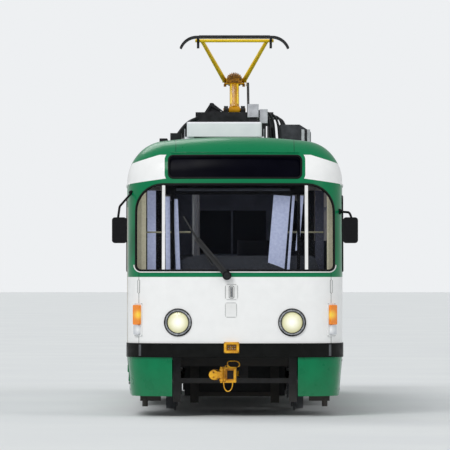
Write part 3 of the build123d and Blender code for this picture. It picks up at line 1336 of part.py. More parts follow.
# Drawbar with its square pocket, standing at its rest angle
turn = radians(DRAW_SWING)
ALONG = Vector(-sin(turn), -cos(turn), 0)
ACROSS = Vector(cos(turn), -sin(turn), 0)
DRAW_AT = Vector(0, DRAW_PIVOT_Y, COUPLER_Z)
POCKET_AT = DRAW_AT + ALONG * DRAW_LEN
HEAD_PIN_AT = POCKET_AT - ACROSS * (POCKET_W / 2 + CLEAR) + ALONG * PIN_AHEAD
with BuildPart() as drawbar:
    with BuildSketch(Plane(origin=DRAW_AT - Vector(0, 0, DRAW_H / 2), x_dir=ACROSS, z_dir=(0, 0, 1))):
        Circle(DRAW_EYE_R)
        with Locations((0, -DRAW_LEN / 2)):
            Rectangle(DRAW_W, DRAW_LEN)
        Circle(DRAW_PIN_R + RUNNING, mode=Mode.SUBTRACT)
    extrude(amount=DRAW_H)
    with BuildSketch(Plane(origin=POCKET_AT, x_dir=ACROSS, z_dir=ALONG)):
        RectangleRounded(POCKET_W, POCKET_H, POCKET_R)
    extrude(amount=-POCKET_DEPTH)
    with BuildSketch(Plane(origin=POCKET_AT, x_dir=ACROSS, z_dir=ALONG)):
        Rectangle(POCKET_W - 2 * POCKET_T, POCKET_H - 2 * POCKET_T)
    extrude(amount=-POCKET_DEPTH + POCKET_BACK_T, mode=Mode.SUBTRACT)
    for low in (-POCKET_H / 2 + PIN_LUG_IN, POCKET_H / 2 - PIN_LUG_IN - PIN_LUG_T):
        with BuildSketch(Plane(origin=HEAD_PIN_AT + Vector(0, 0, low), x_dir=ACROSS, z_dir=(0, 0, 1))):
            Circle(PIN_LUG_R)
            with Locations((PIN_LUG_R, PIN_AHEAD)):
                Rectangle(2 * PIN_LUG_R, PIN_AHEAD)
        extrude(amount=PIN_LUG_T)
    with BuildSketch(Plane(origin=HEAD_PIN_AT - Vector(0, 0, POCKET_H / 2), x_dir=ACROSS, z_dir=(0, 0, 1))):
        Circle(HEAD_PIN_R)
    extrude(amount=POCKET_H)

# Coupler head, folded back beside the drawbar about its pin
fold = turn + radians(HEAD_FOLD)
HEAD_ALONG = Vector(-sin(fold), -cos(fold), 0)
HEAD_ACROSS = Vector(cos(fold), -sin(fold), 0)
HEAD_AXIS_AT = HEAD_PIN_AT + HEAD_ACROSS * (POCKET_W / 2 + CLEAR)
head_back = Plane(HEAD_AXIS_AT + HEAD_ALONG * (CLEAR - PIN_AHEAD), x_dir=HEAD_ACROSS, z_dir=HEAD_ALONG)
head_mouth = Plane(HEAD_AXIS_AT + HEAD_ALONG * HEAD_LEN, x_dir=HEAD_ACROSS, z_dir=HEAD_ALONG)
head_foot = Plane(HEAD_PIN_AT - Vector(0, 0, KNUCKLE_H / 2), x_dir=HEAD_ACROSS, z_dir=(0, 0, 1))
with BuildPart() as coupler_head:
    with BuildSketch(head_foot):
        Circle(PIN_LUG_R)
        with Locations((POCKET_W / 4, 0)):
            Rectangle(POCKET_W / 2, 2 * PIN_LUG_R)
        Circle(HEAD_PIN_R + RUNNING, mode=Mode.SUBTRACT)
    extrude(amount=KNUCKLE_H)
    with BuildSketch(head_back):
        Circle(HEAD_R)
    extrude(amount=HEAD_LEN - CLEAR + PIN_AHEAD)
    with BuildSketch(head_mouth):
        Circle(HEAD_R + HEAD_LIP_OUT)
    extrude(amount=-HEAD_LIP)
    with BuildSketch(head_mouth):
        Circle(HEAD_BORE_R)
    extrude(amount=-HEAD_BORE_DEPTH, mode=Mode.SUBTRACT)
    with BuildSketch(head_back):
        with Locations((0, -HEAD_R / 2), (0, HEAD_R / 2)):
            Circle(HEAD_EYE_R)
    extrude(amount=HEAD_EYE_DEPTH, mode=Mode.SUBTRACT)

for name, turned in (("front", 0), ("rear", 180)):
    for piece, made in (("drawbar", drawbar), ("coupler_head", coupler_head)):
        copy = made.part.rotate(Axis.Z, turned)
        copy.label = f"{name}_{piece}"
        export_step(copy, f"parts/{name}_{piece}.step")

# Bogie: frame with axle boxes and brake arms, two drive units, bolster, springs and track brakes
with BuildPart() as bogie:
    with BuildSketch(Plane.YZ):
        with Locations((0, (BEAM_LOW_Z + BEAM_HIGH_Z) / 2)):
            Rectangle(2 * AXLE_HALF, BEAM_HIGH_Z - BEAM_LOW_Z)
        with Locations((-AXLE_HALF, AXLE_Z), (AXLE_HALF, AXLE_Z)):
            Circle(BOX_R)
            Circle(AXLE_R + RUNNING, mode=Mode.SUBTRACT)
    extrude(amount=BEAM_X + BEAM_W / 2, both=True)
    with BuildSketch(Plane.XY.offset(BEAM_LOW_Z - BOX_R)):
        with Locations((0, AXLE_HALF / 2 + FRAME_CUT_SHIFT), (0, -AXLE_HALF / 2 - FRAME_CUT_SHIFT)):
            Rectangle(2 * BEAM_X - BEAM_W, AXLE_HALF + 2 * BOX_R)
    extrude(amount=BODY_BOTTOM_Z, mode=Mode.SUBTRACT)
    with BuildSketch(Plane.XY.offset(BEAM_LOW_Z + BRAKE_ARM_UP)):
        with Locations((0, -BRAKE_LEN / 3), (0, BRAKE_LEN / 3)):
            Rectangle(2 * BRAKE_X + 2 * BRAKE_ARM_OVER, BRAKE_ARM_W)
            Rectangle(2 * BEAM_X, BRAKE_ARM_W + 2 * SEAT, mode=Mode.SUBTRACT)
    extrude(amount=BRAKE_ARM_H)
    with BuildSketch(Plane.XY.offset(BRAKE_TOP_Z + SEAT)):
        with GridLocations(2 * BRAKE_X, 2 * BRAKE_LEN / 3, 2, 2):
            Circle(BRAKE_ROD_R)
    extrude(amount=BEAM_LOW_Z + BRAKE_ARM_UP + BRAKE_ROD_LAP - BRAKE_TOP_Z)
    with BuildSketch(Plane.XY.offset(FLANGE_H + BRAKE_LIFT)):
        with Locations((-BRAKE_X, 0), (BRAKE_X, 0)):
            Rectangle(BRAKE_W, BRAKE_LEN)
    extrude(amount=BRAKE_H)
    with BuildSketch(Plane.XY.offset(BOLSTER_BEAM_LOW_Z)):
        RectangleRounded(2 * BEAM_X + 2 * SPRING_R, BOLSTER_BEAM_W, BOLSTER_BEAM_R)
    extrude(amount=BOLSTER_BEAM_H)
    with BuildSketch(Plane.XY.offset(BOLSTER_BEAM_HIGH_Z)):
        Circle(PIVOT_PLATE_R)
    extrude(amount=BOLSTER_LOW_Z - SEAT - BOLSTER_BEAM_HIGH_Z)
    with BuildSketch(Plane.XY.offset(BOLSTER_BEAM_LOW_Z)):
        Circle(PIVOT_PIN_R + RUNNING)
    extrude(amount=BODY_BOTTOM_Z, mode=Mode.SUBTRACT)
    with BuildSketch(Plane.XY.offset(BEAM_HIGH_Z + SEAT)):
        with Locations((-BEAM_X, 0), (BEAM_X, 0)):
            Circle(SPRING_R)
    extrude(amount=SPRING_H - 2 * SEAT)
    for end in (-1, 1):
        with BuildSketch(Plane.XZ.offset(-end * MOTOR_NEAR)):
            with Locations((0, AXLE_Z)):
                Circle(MOTOR_R)
        extrude(amount=-end * MOTOR_LEN)
        with BuildSketch(Plane.YZ):
            with Locations((end * AXLE_HALF, AXLE_Z)):
                Circle(GEAR_R)
            with Locations((end * (AXLE_HALF + MOTOR_NEAR + MOTOR_LEN - GEAR_CASE_LAP) / 2, AXLE_Z)):
                Rectangle(AXLE_HALF - MOTOR_NEAR - MOTOR_LEN + GEAR_CASE_LAP, GEAR_CASE_H)
        extrude(amount=GEAR_W / 2, both=True)
        with BuildSketch(Plane.YZ):
            with Locations((end * AXLE_HALF, AXLE_Z)):
                Circle(AXLE_R + RUNNING)
        extrude(amount=GEAR_W, both=True, mode=Mode.SUBTRACT)
        with BuildSketch(Plane.XZ.offset(-end * (MOTOR_NEAR + MOTOR_LEN / 2) - MOTOR_ARM_T / 2)):
            with Locations((0, AXLE_Z + MOTOR_ARM_UP)):
                Rectangle(2 * BEAM_X - BEAM_W - 2 * SEAT, MOTOR_ARM_H)
        extrude(amount=MOTOR_ARM_T)

for name, y in (("front", -BOGIE_Y), ("rear", BOGIE_Y)):
    moved = bogie.part.moved(Location((0, y, 0)))
    moved.label = f"bogie_frame_{name}"
    export_step(moved, f"parts/bogie_frame_{name}.step")

# Wheelset turned in one piece: axle, hubs, dished webs, treads and flanges
with BuildPart() as wheelset:
    with BuildSketch(Plane.XZ) as half:
        with BuildLine():
            Polyline(
                (0, 0), (0, AXLE_R), (FLANGE_BACK_X - HUB_OVER, AXLE_R),
                (FLANGE_BACK_X - HUB_OVER, HUB_BACK_R),
                *[(FLANGE_BACK_X + out, radius) for out, radius in WEB_BACK], (FLANGE_BACK_X, RIM_IN_R),
                (FLANGE_BACK_X, TREAD_R + FLANGE_H - FLANGE_BACK_FALL),
                (FLANGE_BACK_X + FLANGE_CROWN_OUT, TREAD_R + FLANGE_H),
                (FLANGE_BACK_X + FLANGE_T - FLANGE_FRONT_IN, TREAD_R + FLANGE_H - FLANGE_FRONT_FALL),
                (FLANGE_BACK_X + FLANGE_T, TREAD_R), (FLANGE_BACK_X + WHEEL_W, TREAD_R - TREAD_FALL),
                (FLANGE_BACK_X + WHEEL_W, RIM_IN_R),
                *[(FLANGE_BACK_X + out, radius) for out, radius in WEB_FRONT],
                (FLANGE_BACK_X + WHEEL_W, HUB_FRONT_R), (FLANGE_BACK_X + WHEEL_W, 0), close=True,
            )
        make_face()
    revolve(axis=Axis.X)
    mirror(about=Plane.YZ)

axle_places = [bogie_y + axle_y for bogie_y in (-BOGIE_Y, BOGIE_Y) for axle_y in (-AXLE_HALF, AXLE_HALF)]
for number, y in enumerate(axle_places, 1):
    moved = wheelset.part.moved(Location((0, y, AXLE_Z)))
    moved.label = f"wheelset_{number}"
    export_step(moved, f"parts/wheelset_{number}.step")

# Door leaves, drawn for the fore half of a doorway whose fore post is at Y = 0 and whose
# leaves' outside face is at X = 0, then carried to each doorway and mirrored for the aft half


def leaf(start, has_pivot, knuckle_side, knuckle_shift):
    """One leaf with its two lights, glass, pivot pins and half of the hinge knuckles."""
    with BuildPart() as made:
        with BuildSketch(Plane.YZ) as face:
            with Locations((start + LEAF_W / 2, (LEAF_LOW_Z + LEAF_HIGH_Z) / 2)):
                Rectangle(LEAF_W, LEAF_HIGH_Z - LEAF_LOW_Z)
            for low, high in LEAF_LIGHTS:
                with Locations((start + LEAF_W / 2, (low + high) / 2)):
                    RectangleRounded(LEAF_W - 2 * LEAF_EDGE, high - low, LEAF_LIGHT_R, mode=Mode.SUBTRACT)
        extrude(amount=LEAF_T)
        if has_pivot:
            inside_edges = made.edges().filter_by(Axis.Z).group_by(Axis.X)[-1]
            fillet(inside_edges.sort_by(Axis.Y)[0], PIVOT_EDGE_R)
            with BuildSketch(Plane.XY.offset(SILL_Z + SEAT)):
                with Locations((LEAF_T - PIVOT_EDGE_R, start + PIVOT_EDGE_R)):
                    Circle(PIVOT_R)
            extrude(amount=DOOR_TOP_Z - SILL_Z - 2 * SEAT)
        else:
            inside_edges = made.edges().filter_by(Axis.Z).group_by(Axis.X)[-1]
            fillet(inside_edges.sort_by(Axis.Y)[-1], MEETING_EDGE_R)
        for low, high in KNUCKLES:
            middle = (low + high) / 2
            foot = low if knuckle_shift == 0 else middle + SEAT / 2
            with BuildSketch(Plane.XY.offset(foot)):
                with Locations((-HINGE_OUT, FOLD_Y)):
                    Circle(HINGE_R)
                with Locations((-HINGE_OUT / 2, FOLD_Y + knuckle_side * (HINGE_R + 4) / 2 + knuckle_side)):
                    Rectangle(HINGE_OUT, HINGE_R - 2)
            extrude(amount=(high - low) / 2 - SEAT / 2)
        with BuildSketch(Plane.YZ.offset((LEAF_T - LEAF_GLASS_T) / 2)):
            for low, high in LEAF_LIGHTS:
                with Locations((start + LEAF_W / 2, (low + high) / 2)):
                    RectangleRounded(
                        LEAF_W - 2 * LEAF_EDGE - 2 * SEAT, high - low - 2 * SEAT, LEAF_LIGHT_R - SEAT
                    )
        extrude(amount=LEAF_GLASS_T)
    return made.part


post_leaf = leaf(CLEAR, True, -1, 0)
inner_leaf = leaf(CLEAR + LEAF_W + LEAF_GAP, False, 1, 1)
for name, y in DOORWAYS:
    for half, flip in (("fore", False), ("aft", True)):
        for piece, made in (("post_leaf", post_leaf), ("inner_leaf", inner_leaf)):
            placed = made.moved(Location((-door_face(y), -DOOR_W / 2, 0)))
            placed = placed.mirror(Plane.XZ) if flip else placed
            placed = placed.moved(Location((0, y, 0)))
            placed.label = f"{name}_door_{half}_{piece}"
            export_step(placed, f"parts/{name}_door_{half}_{piece}.step")
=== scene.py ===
# %% [markdown]
# # A four-axle tram, dressed over its measured frame
# The frame is the part's own solid model. It says where every panel, wheel and arm is, so this lesson
# only adds finishes, trim and small fittings. Everything is in metres, the front looks along -Y, the
# doors are on the -X side, and Z is zero under the wheel flanges.

# %% Load the frame
import json
import math

import bmesh
import bpy
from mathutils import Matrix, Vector
from mathutils.bvhtree import BVHTree


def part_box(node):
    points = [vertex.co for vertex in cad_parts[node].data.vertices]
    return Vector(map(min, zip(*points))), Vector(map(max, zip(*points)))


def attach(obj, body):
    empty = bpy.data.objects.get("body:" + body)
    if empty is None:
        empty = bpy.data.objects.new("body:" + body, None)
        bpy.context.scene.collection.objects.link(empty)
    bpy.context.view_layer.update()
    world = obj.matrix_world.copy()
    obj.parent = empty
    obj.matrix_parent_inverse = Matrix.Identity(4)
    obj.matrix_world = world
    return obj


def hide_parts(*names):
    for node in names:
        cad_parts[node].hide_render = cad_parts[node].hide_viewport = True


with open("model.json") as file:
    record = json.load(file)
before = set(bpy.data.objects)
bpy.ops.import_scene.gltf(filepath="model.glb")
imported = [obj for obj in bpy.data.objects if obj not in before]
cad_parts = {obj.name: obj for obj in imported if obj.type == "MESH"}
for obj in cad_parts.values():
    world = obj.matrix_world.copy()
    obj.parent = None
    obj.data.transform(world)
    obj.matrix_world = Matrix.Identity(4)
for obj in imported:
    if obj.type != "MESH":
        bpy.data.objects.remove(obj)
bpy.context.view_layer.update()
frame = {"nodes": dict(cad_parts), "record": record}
nodes = frame["nodes"]
scene = bpy.context.scene

# %% [markdown]
# ## The body's surface
# A tram body has one plan, drawn with arcs, that leans back above the belt line. Trim could be placed by
# eye, but every strip would then float or sink somewhere. The same arcs are written here as functions, so
# a seal or a rivet is placed by two numbers and always lies on the skin.

# %% Points on the skin
HALF, LONG, BELT, RAKE = 1.25, 7.0, 1.636, math.tan(math.radians(9))
NOSE, CORNER, TAPER, TAPER_LEN = 3.2, 0.5, 52.0, 2.28
ENDS = ((-1, "front"), (1, "rear"))
SIDES = (-1, 1)
TAPER_TURN = math.asin(TAPER_LEN / TAPER)
CORNER_X = HALF - TAPER + (TAPER - CORNER) * math.cos(TAPER_TURN)
NOSE_TURN = math.asin(CORNER_X / (NOSE - CORNER))
CORNER_Y = LONG - NOSE + (NOSE - CORNER) * math.cos(NOSE_TURN)
TAPER_Y = CORNER_Y - (TAPER - CORNER) * math.sin(TAPER_TURN)


def on_end(x, z, out=0.0, end=-1):
    """Place and outward direction on the front (end -1) or rear (end 1) face."""
    if abs(x) < NOSE * math.sin(NOSE_TURN):
        turn, y = math.asin(abs(x) / NOSE), LONG - NOSE + math.sqrt(NOSE**2 - x**2)
    else:
        turn = math.asin(min(0.9999, (abs(x) - CORNER_X) / CORNER))
        y = CORNER_Y + CORNER * math.cos(turn)
    lean = RAKE if z > BELT else 0.0
    away = Vector((math.copysign(math.sin(turn), x), end * math.cos(turn), lean * math.cos(turn))).normalized()
    return Vector((x, end * (y - lean * (z - BELT)), z)) + away * out, away


def on_side(side, y, z, out=0.0):
    """Place and outward direction on a side wall."""
    reach = abs(y) + (RAKE * (z - BELT) if z > BELT else 0.0)
    if reach > CORNER_Y + CORNER * math.sin(TAPER_TURN):
        turn = math.acos(min(1.0, (reach - CORNER_Y) / CORNER))
        x = CORNER_X + CORNER * math.sin(turn)
        away = Vector((side * math.sin(turn), math.copysign(math.cos(turn), y), 0))
    else:
        past = max(0.0, reach - TAPER_Y)
        x = HALF - TAPER + math.sqrt(TAPER**2 - past**2)
        away = Vector((side, math.copysign(past / TAPER, y), 0)).normalized()
    return Vector((side * x, y, z)) + away * out, away


def rounded(low_u, high_u, low_v, high_v, radii, step=0.06):
    """Corner-rounded rectangle as (u, v) pairs, with one radius or four from the lower left anticlockwise."""
    radii = radii if isinstance(radii, tuple) else (radii,) * 4
    corners = [(low_u, low_v, 180), (high_u, low_v, 270), (high_u, high_v, 0), (low_u, high_v, 90)]
    pairs = []
    for (u, v, start), r in zip(corners, radii):
        cu = u + r if u == low_u else u - r
        cv = v + r if v == low_v else v - r
        for i in range(9):
            a = math.radians(start + 90 * i / 8)
            pairs.append((cu + r * math.cos(a), cv + r * math.sin(a)))
    full = []
    for (u, v), (p, q) in zip(pairs, pairs[1:] + pairs[:1]):
        count = max(1, round(math.hypot(p - u, q - v) / step))
        full += [(u + (p - u) * i / count, v + (q - v) * i / count) for i in range(count)]
    return full


print("corner centre:", round(CORNER_X, 3), round(CORNER_Y, 3), "taper from", round(TAPER_Y, 3))

# %% [markdown]
# ## One way to add a node
# A material or a geometry tree is a list of nodes. One small function adds a node with its settings and its
# links. Long sums are tables of Math nodes, one a row, which read like the sums that they are.

# %% Node helpers
def plug(tree, socket, source):
    """Feeds a socket from another node's socket, or else gives it a value."""
    if isinstance(source, bpy.types.NodeSocket):
        tree.links.new(source, socket)
    else:
        socket.default_value = source


def add_node(tree, kind, sockets=None, **props):
    """Adds one node, sets its properties and plugs its sockets."""
    made = tree.nodes.new(kind)
    for name, value in props.items():
        setattr(made, name, value)
    for name, source in (sockets or {}).items():
        plug(tree, made.inputs[name], source)
    return made


def paint(hex_code):
    """Linear colour of an sRGB hex value."""
    parts = [int(hex_code[i : i + 2], 16) / 255 for i in (1, 3, 5)]
    return tuple(c / 12.92 if c <= 0.04045 else ((c + 0.055) / 1.055) ** 2.4 for c in parts) + (1.0,)


def begin(name, roughness=0.5, metallic=0.0, ior=1.5, gleam=0.3, **sockets):
    """New material: its tree, its shader and its object coordinates, whole and split into x, y and z."""
    material = bpy.data.materials.new(name)
    material.use_nodes = True
    tree = material.node_tree
    shader = tree.nodes["Principled BSDF"]
    sockets |= {"Roughness": roughness, "Metallic": metallic, "IOR": ior}
    sockets["Specular_IOR_Level"] = 0.5 if metallic else gleam
    for socket, value in sockets.items():
        plug(tree, shader.inputs[socket.replace("_", " ")], value)
    place = add_node(tree, "ShaderNodeTexCoord").outputs["Object"]
    apart = add_node(tree, "ShaderNodeSeparateXYZ", {0: place}).outputs
    return material, tree, shader, {"x": apart[0], "y": apart[1], "z": apart[2], "place": place}


def mottle(tree, known, shader, size, dark, light, rough, bump=0.0):
    """Cloudy change of colour, roughness and level over patches of a real size in metres."""
    cloud = {"Vector": known["place"], "Scale": 1 / size, "Detail": 4.0}
    noise = add_node(tree, "ShaderNodeTexNoise", cloud).outputs["Fac"]
    spread = {"Value": noise, "From Min": 0.35, "From Max": 0.65}
    spread = add_node(tree, "ShaderNodeMapRange", spread).outputs["Result"]
    mix = {"Factor": spread, 6: paint(dark), 7: paint(light)}
    known["colour"] = add_node(tree, "ShaderNodeMix", mix, data_type="RGBA").outputs[2]
    plug(tree, shader.inputs["Base Color"], known["colour"])
    gloss = {"Value": spread, "To Min": rough[0], "To Max": rough[1]}
    gloss = add_node(tree, "ShaderNodeMapRange", gloss).outputs["Result"]
    plug(tree, shader.inputs["Roughness"], gloss)
    if bump:
        level = {"Height": noise, "Strength": 0.6, "Distance": bump}
        plug(tree, shader.inputs["Normal"], add_node(tree, "ShaderNodeBump", level).outputs["Normal"])


def soil(tree, known, shader, colour, top, amount):
    """Road dust that thins out upwards: full at the floor, none at the top."""
    cloud = {"Vector": known["place"], "Scale": 2.2, "Detail": 5.0}
    patch = add_node(tree, "ShaderNodeTexNoise", cloud).outputs["Fac"]
    fade = {"Value": known["z"], "From Min": top, "From Max": 0.05, "To Max": amount}
    fade = add_node(tree, "ShaderNodeMapRange", fade).outputs["Result"]
    dust = add_node(tree, "ShaderNodeMath", {0: patch, 1: fade}, operation="MULTIPLY").outputs[0]
    dust = add_node(tree, "ShaderNodeMath", {0: dust, 1: 1.7}, operation="MULTIPLY").outputs[0]
    mix = {"Factor": dust, 6: known["colour"], 7: paint(colour)}
    plug(tree, shader.inputs["Base Color"], add_node(tree, "ShaderNodeMix", mix, data_type="RGBA").outputs[2])


print("helpers ready")

# %% [markdown]
# ## Two-colour enamel on steel panels
# The livery is sprayed: white below the belt and along the cant rail, green round the windows and on the
# roof. It could be cut into the mesh, but a mask of heights and widths stays sharp from any distance. The
# white band ends in a rounded green frame round the destination sign. Wide, faint waves keep the sheet
# metal from looking like plastic, and thin darker lines are the panel joints.

# %% Body enamel
END_Y, PANEL_LOW, PANEL_TOP = 6.2, 0.665, 1.564
BAND_LOW, BAND_TOP, BAND_CAP = 2.773, 3.193, 2.938
FRAME_X, FRAME_Z, FRAME_HALF, FRAME_R = 0.700, 2.801, 0.081, 0.09
PILLAR_X, PILLAR_HALF, PILLAR_LOW, PILLAR_TOP = 0.800, 0.0187, 1.640, 2.600
SEAM_HALF, SEAM_TOP, CORNER_SEAM_X, ROOF_SEAM_X, ROOF_SEAM_LOW = 0.003, 1.62, 1.078, 0.665, 2.97
LEFT_SEAM_Y, LEFT_PANEL_HALF, DOOR_SEAM_Y, DOOR_PANEL_HALF = 0.36, 0.68, 0.735, 0.655
body_enamel, tree, shader, known = begin("sprayed_enamel_two_colours", 0.3, gleam=0.14, Coat_Weight=0.15)
for name, scale, detail in (("waves", 2.6, 2.0), ("worn", 9.0, 6.0)):
    cloud = {"Vector": known["place"], "Scale": scale, "Detail": detail}
    known[name] = add_node(tree, "ShaderNodeTexNoise", cloud).outputs["Fac"]
for result, operation, *terms in (
    ("ax", "ABSOLUTE", "x"),
    ("ay", "ABSOLUTE", "y"),
    ("at_end", "GREATER_THAN", "ay", END_Y),
    ("over_foot", "GREATER_THAN", "z", PANEL_LOW),
    ("under_belt", "LESS_THAN", "z", PANEL_TOP),
    ("lower_panel", "MULTIPLY", "over_foot", "under_belt"),
    ("lower_edge", "MULTIPLY_ADD", "ax", -0.134, BAND_LOW),
    ("upper_edge", "MULTIPLY_ADD", "ax", -0.30, BAND_TOP),
    ("upper_cap", "MINIMUM", "upper_edge", BAND_CAP),
    ("over_lower", "GREATER_THAN", "z", "lower_edge"),
    ("under_upper", "LESS_THAN", "z", "upper_cap"),
    ("band", "MULTIPLY", "over_lower", "under_upper"),
    ("frame_x", "SUBTRACT", "ax", FRAME_X),
    ("frame_x", "MAXIMUM", "frame_x", 0.0),
    ("frame_x", "POWER", "frame_x", 2.0),
    ("frame_z", "SUBTRACT", "z", FRAME_Z),
    ("frame_z", "ABSOLUTE", "frame_z"),
    ("frame_z", "SUBTRACT", "frame_z", FRAME_HALF),
    ("frame_z", "MAXIMUM", "frame_z", 0.0),
    ("frame_z", "POWER", "frame_z", 2.0),
    ("frame_far", "ADD", "frame_x", "frame_z"),
    ("outside_sign", "GREATER_THAN", "frame_far", FRAME_R**2),
    ("to_rear", "GREATER_THAN", "y", 0.0),
    ("outside_sign", "MAXIMUM", "outside_sign", "to_rear"),
    ("band", "MULTIPLY", "band", "outside_sign"),
    ("pillar", "COMPARE", "ax", PILLAR_X, PILLAR_HALF),
    ("over_sill", "GREATER_THAN", "z", PILLAR_LOW),
    ("pillar", "MULTIPLY", "pillar", "over_sill"),
    ("under_head", "LESS_THAN", "z", PILLAR_TOP),
    ("pillar", "MULTIPLY", "pillar", "under_head"),
    ("pillar", "MULTIPLY", "pillar", "at_end"),
    ("white", "MAXIMUM", "lower_panel", "band"),
    ("white", "MAXIMUM", "white", "pillar"),
    ("corner_seam", "COMPARE", "ax", CORNER_SEAM_X, SEAM_HALF),
    ("corner_seam", "MULTIPLY", "corner_seam", "at_end"),
    ("left_row", "SUBTRACT", "y", LEFT_SEAM_Y),
    ("left_row", "PINGPONG", "left_row", LEFT_PANEL_HALF),
    ("door_row", "SUBTRACT", "ay", DOOR_SEAM_Y),
    ("door_row", "PINGPONG", "door_row", DOOR_PANEL_HALF),
    ("on_left", "GREATER_THAN", "x", 0.0),
    ("row_step", "SUBTRACT", "left_row", "door_row"),
    ("panel_row", "MULTIPLY_ADD", "row_step", "on_left", "door_row"),
    ("side_seam", "COMPARE", "panel_row", 0.0, 0.0025),
    ("side_seam", "SUBTRACT", "side_seam", "at_end"),
    ("end_seam", "COMPARE", "ay", END_Y, SEAM_HALF),
    ("seam", "MAXIMUM", "corner_seam", "side_seam"),
    ("seam", "MAXIMUM", "seam", "end_seam"),
    ("seam_top", "LESS_THAN", "z", SEAM_TOP),
    ("seam", "MULTIPLY", "seam", "seam_top"),
    ("roof_seam", "COMPARE", "ax", ROOF_SEAM_X, SEAM_HALF),
    ("on_roof", "GREATER_THAN", "z", ROOF_SEAM_LOW),
    ("roof_seam", "MULTIPLY", "roof_seam", "on_roof"),
    ("seam", "MAXIMUM", "seam", "roof_seam"),
    ("level", "MULTIPLY_ADD", "seam", -0.6, "waves"),
):
    sockets = {i: known.get(term, term) for i, term in enumerate(terms)}
    known[result] = add_node(tree, "ShaderNodeMath", sockets, operation=operation).outputs[0]
livery = {"Factor": known["white"], 6: paint("#00794b"), 7: paint("#f6f6f5")}
livery = add_node(tree, "ShaderNodeMix", livery, data_type="RGBA").outputs[2]
faded = {"Value": known["worn"], "From Min": 0.3, "From Max": 0.7, "To Min": 0.965, "To Max": 1.0}
faded = add_node(tree, "ShaderNodeMapRange", faded).outputs["Result"]
for factor, colour in ((1.0, faded), (known["seam"], paint("#7d807e"))):
    mix = {"Factor": factor, 6: livery, 7: colour}
    livery = add_node(tree, "ShaderNodeMix", mix, data_type="RGBA", blend_type="MULTIPLY").outputs[2]
known["colour"] = livery
soil(tree, known, shader, "#8d8578", 1.0, 0.12)
sheet = {"Height": known["level"], "Strength": 0.25, "Distance": 0.004}
plug(tree, shader.inputs["Normal"], add_node(tree, "ShaderNodeBump", sheet).outputs["Normal"])
gloss = {"Value": known["worn"], "To Min": 0.22, "To Max": 0.42}
plug(tree, shader.inputs["Roughness"], add_node(tree, "ShaderNodeMapRange", gloss).outputs["Result"])
print("enamel nodes:", len(tree.nodes))

# %% [markdown]
# ## The other finishes
# Each is named for what it really is, or for the light or shade it is painted to stand for. Most are one cloudy
# pattern at the size of real wear, with its own colours and gloss, and each gets its own line.

# %% Painted and moulded finishes
def simple(name, size, dark, light, rough, bump=0.0, dust=0.0, dust_top=1.2, **settings):
    """A finish made of one cloudy pattern, with road dust if it is low on the tram."""
    material, tree, shader, known = begin(name, **settings)
    mottle(tree, known, shader, size, dark, light, rough, bump)
    if dust:
        soil(tree, known, shader, "#7d756a", dust_top, dust)
    return material


# Enamel over pressed steel: glossy, with a soft second highlight from the lacquer.
green_enamel = simple(
    "sprayed_enamel_green", 0.16, "#007348", "#007c4e", (0.25, 0.4), 0.001, 0.12, 0.6, gleam=0.14, Coat_Weight=0.15
)
white_enamel = simple("sprayed_enamel_white", 0.2, "#e3e3e1", "#f2f2f1", (0.25, 0.4), Coat_Weight=0.2)
wiper_steel = simple("wiper_enamel_satin", 0.05, "#0d0d0f", "#17171a", (0.3, 0.45), gleam=0.5)
# Lighter than the black bumper, so its straps also paint the highlight on the bumper's corner bends.
bumper_strap_highlight_grey = simple("strap_enamel_painted_highlight", 0.08, "#4b4d50", "#5b5d60", (0.4, 0.6))
# Cellulose enamel on castings and tubes: brighter, with brown grime where the cloud is dark.
yellow_enamel = simple("brushed_enamel_yellow", 0.06, "#c98a10", "#f6b81e", (0.25, 0.5), 0.0008, Coat_Weight=0.3)
arm_enamel = simple("sprayed_enamel_lemon", 0.3, "#ffd01c", "#ffdd3c", (0.35, 0.5), gleam=0.15)
# The lower arm's ochre is the arm's lemon yellow darkened: painted shade along the middle of the tube.
arm_yellow_painted_shade = simple("sprayed_enamel_lemon_painted_shade", 0.3, "#b47c0c", "#cf9716", (0.35, 0.5), gleam=0.15)
bronze_casting = simple("cast_bronze_grimed", 0.03, "#5d3c08", "#a97514", (0.35, 0.6), 0.0006, metallic=0.6)
# Laminate wall panels inside the saloon: pale, matt, slightly greyer in patches.
wall_laminate = simple("saloon_wall_laminate", 0.3, "#c9c6bb", "#d6d3c9", (0.45, 0.6))
ceiling_board = simple("saloon_ceiling_board", 0.3, "#cfd0d2", "#dcdcde", (0.5, 0.65))
# EPDM rubber: black, dry, a little grey where it is dusty. The gaps round flaps are filled in grey.
seal_rubber = simple("extruded_rubber_black", 0.05, "#0a0a0b", "#151516", (0.45, 0.7), 0.0004, gleam=0.15)
bumper_rubber = simple("bumper_rubber_satin", 0.09, "#070909", "#101212", (0.38, 0.6), 0.0008, 0.03, 1.2, gleam=0.1)
cable_rubber = simple("cable_sheath_black", 0.04, "#141416", "#232327", (0.4, 0.6))
gap_line = simple("gap_filler_grey", 0.05, "#5d605f", "#737675", (0.6, 0.8))
# Two-pack chassis paint: dark grey with road dust that lies thickest near the floor.
chassis_paint = simple("chassis_paint_dark", 0.12, "#1c1c1f", "#2f3034", (0.5, 0.8), 0.001, 0.30, 1.0)
gate_paint = simple("chassis_paint_grey", 0.10, "#2a2b2f", "#3d3e43", (0.45, 0.7), 0.001, 0.22, 0.9)
bogie_iron = simple("cast_steel_brake_dusted", 0.07, "#241d18", "#3b3734", (0.6, 0.9), 0.002, 0.35, 0.8)
equipment_paint = simple("equipment_paint_grey", 0.12, "#2c2e32", "#43464b", (0.45, 0.7), 0.0008, 0.35, 0.9)
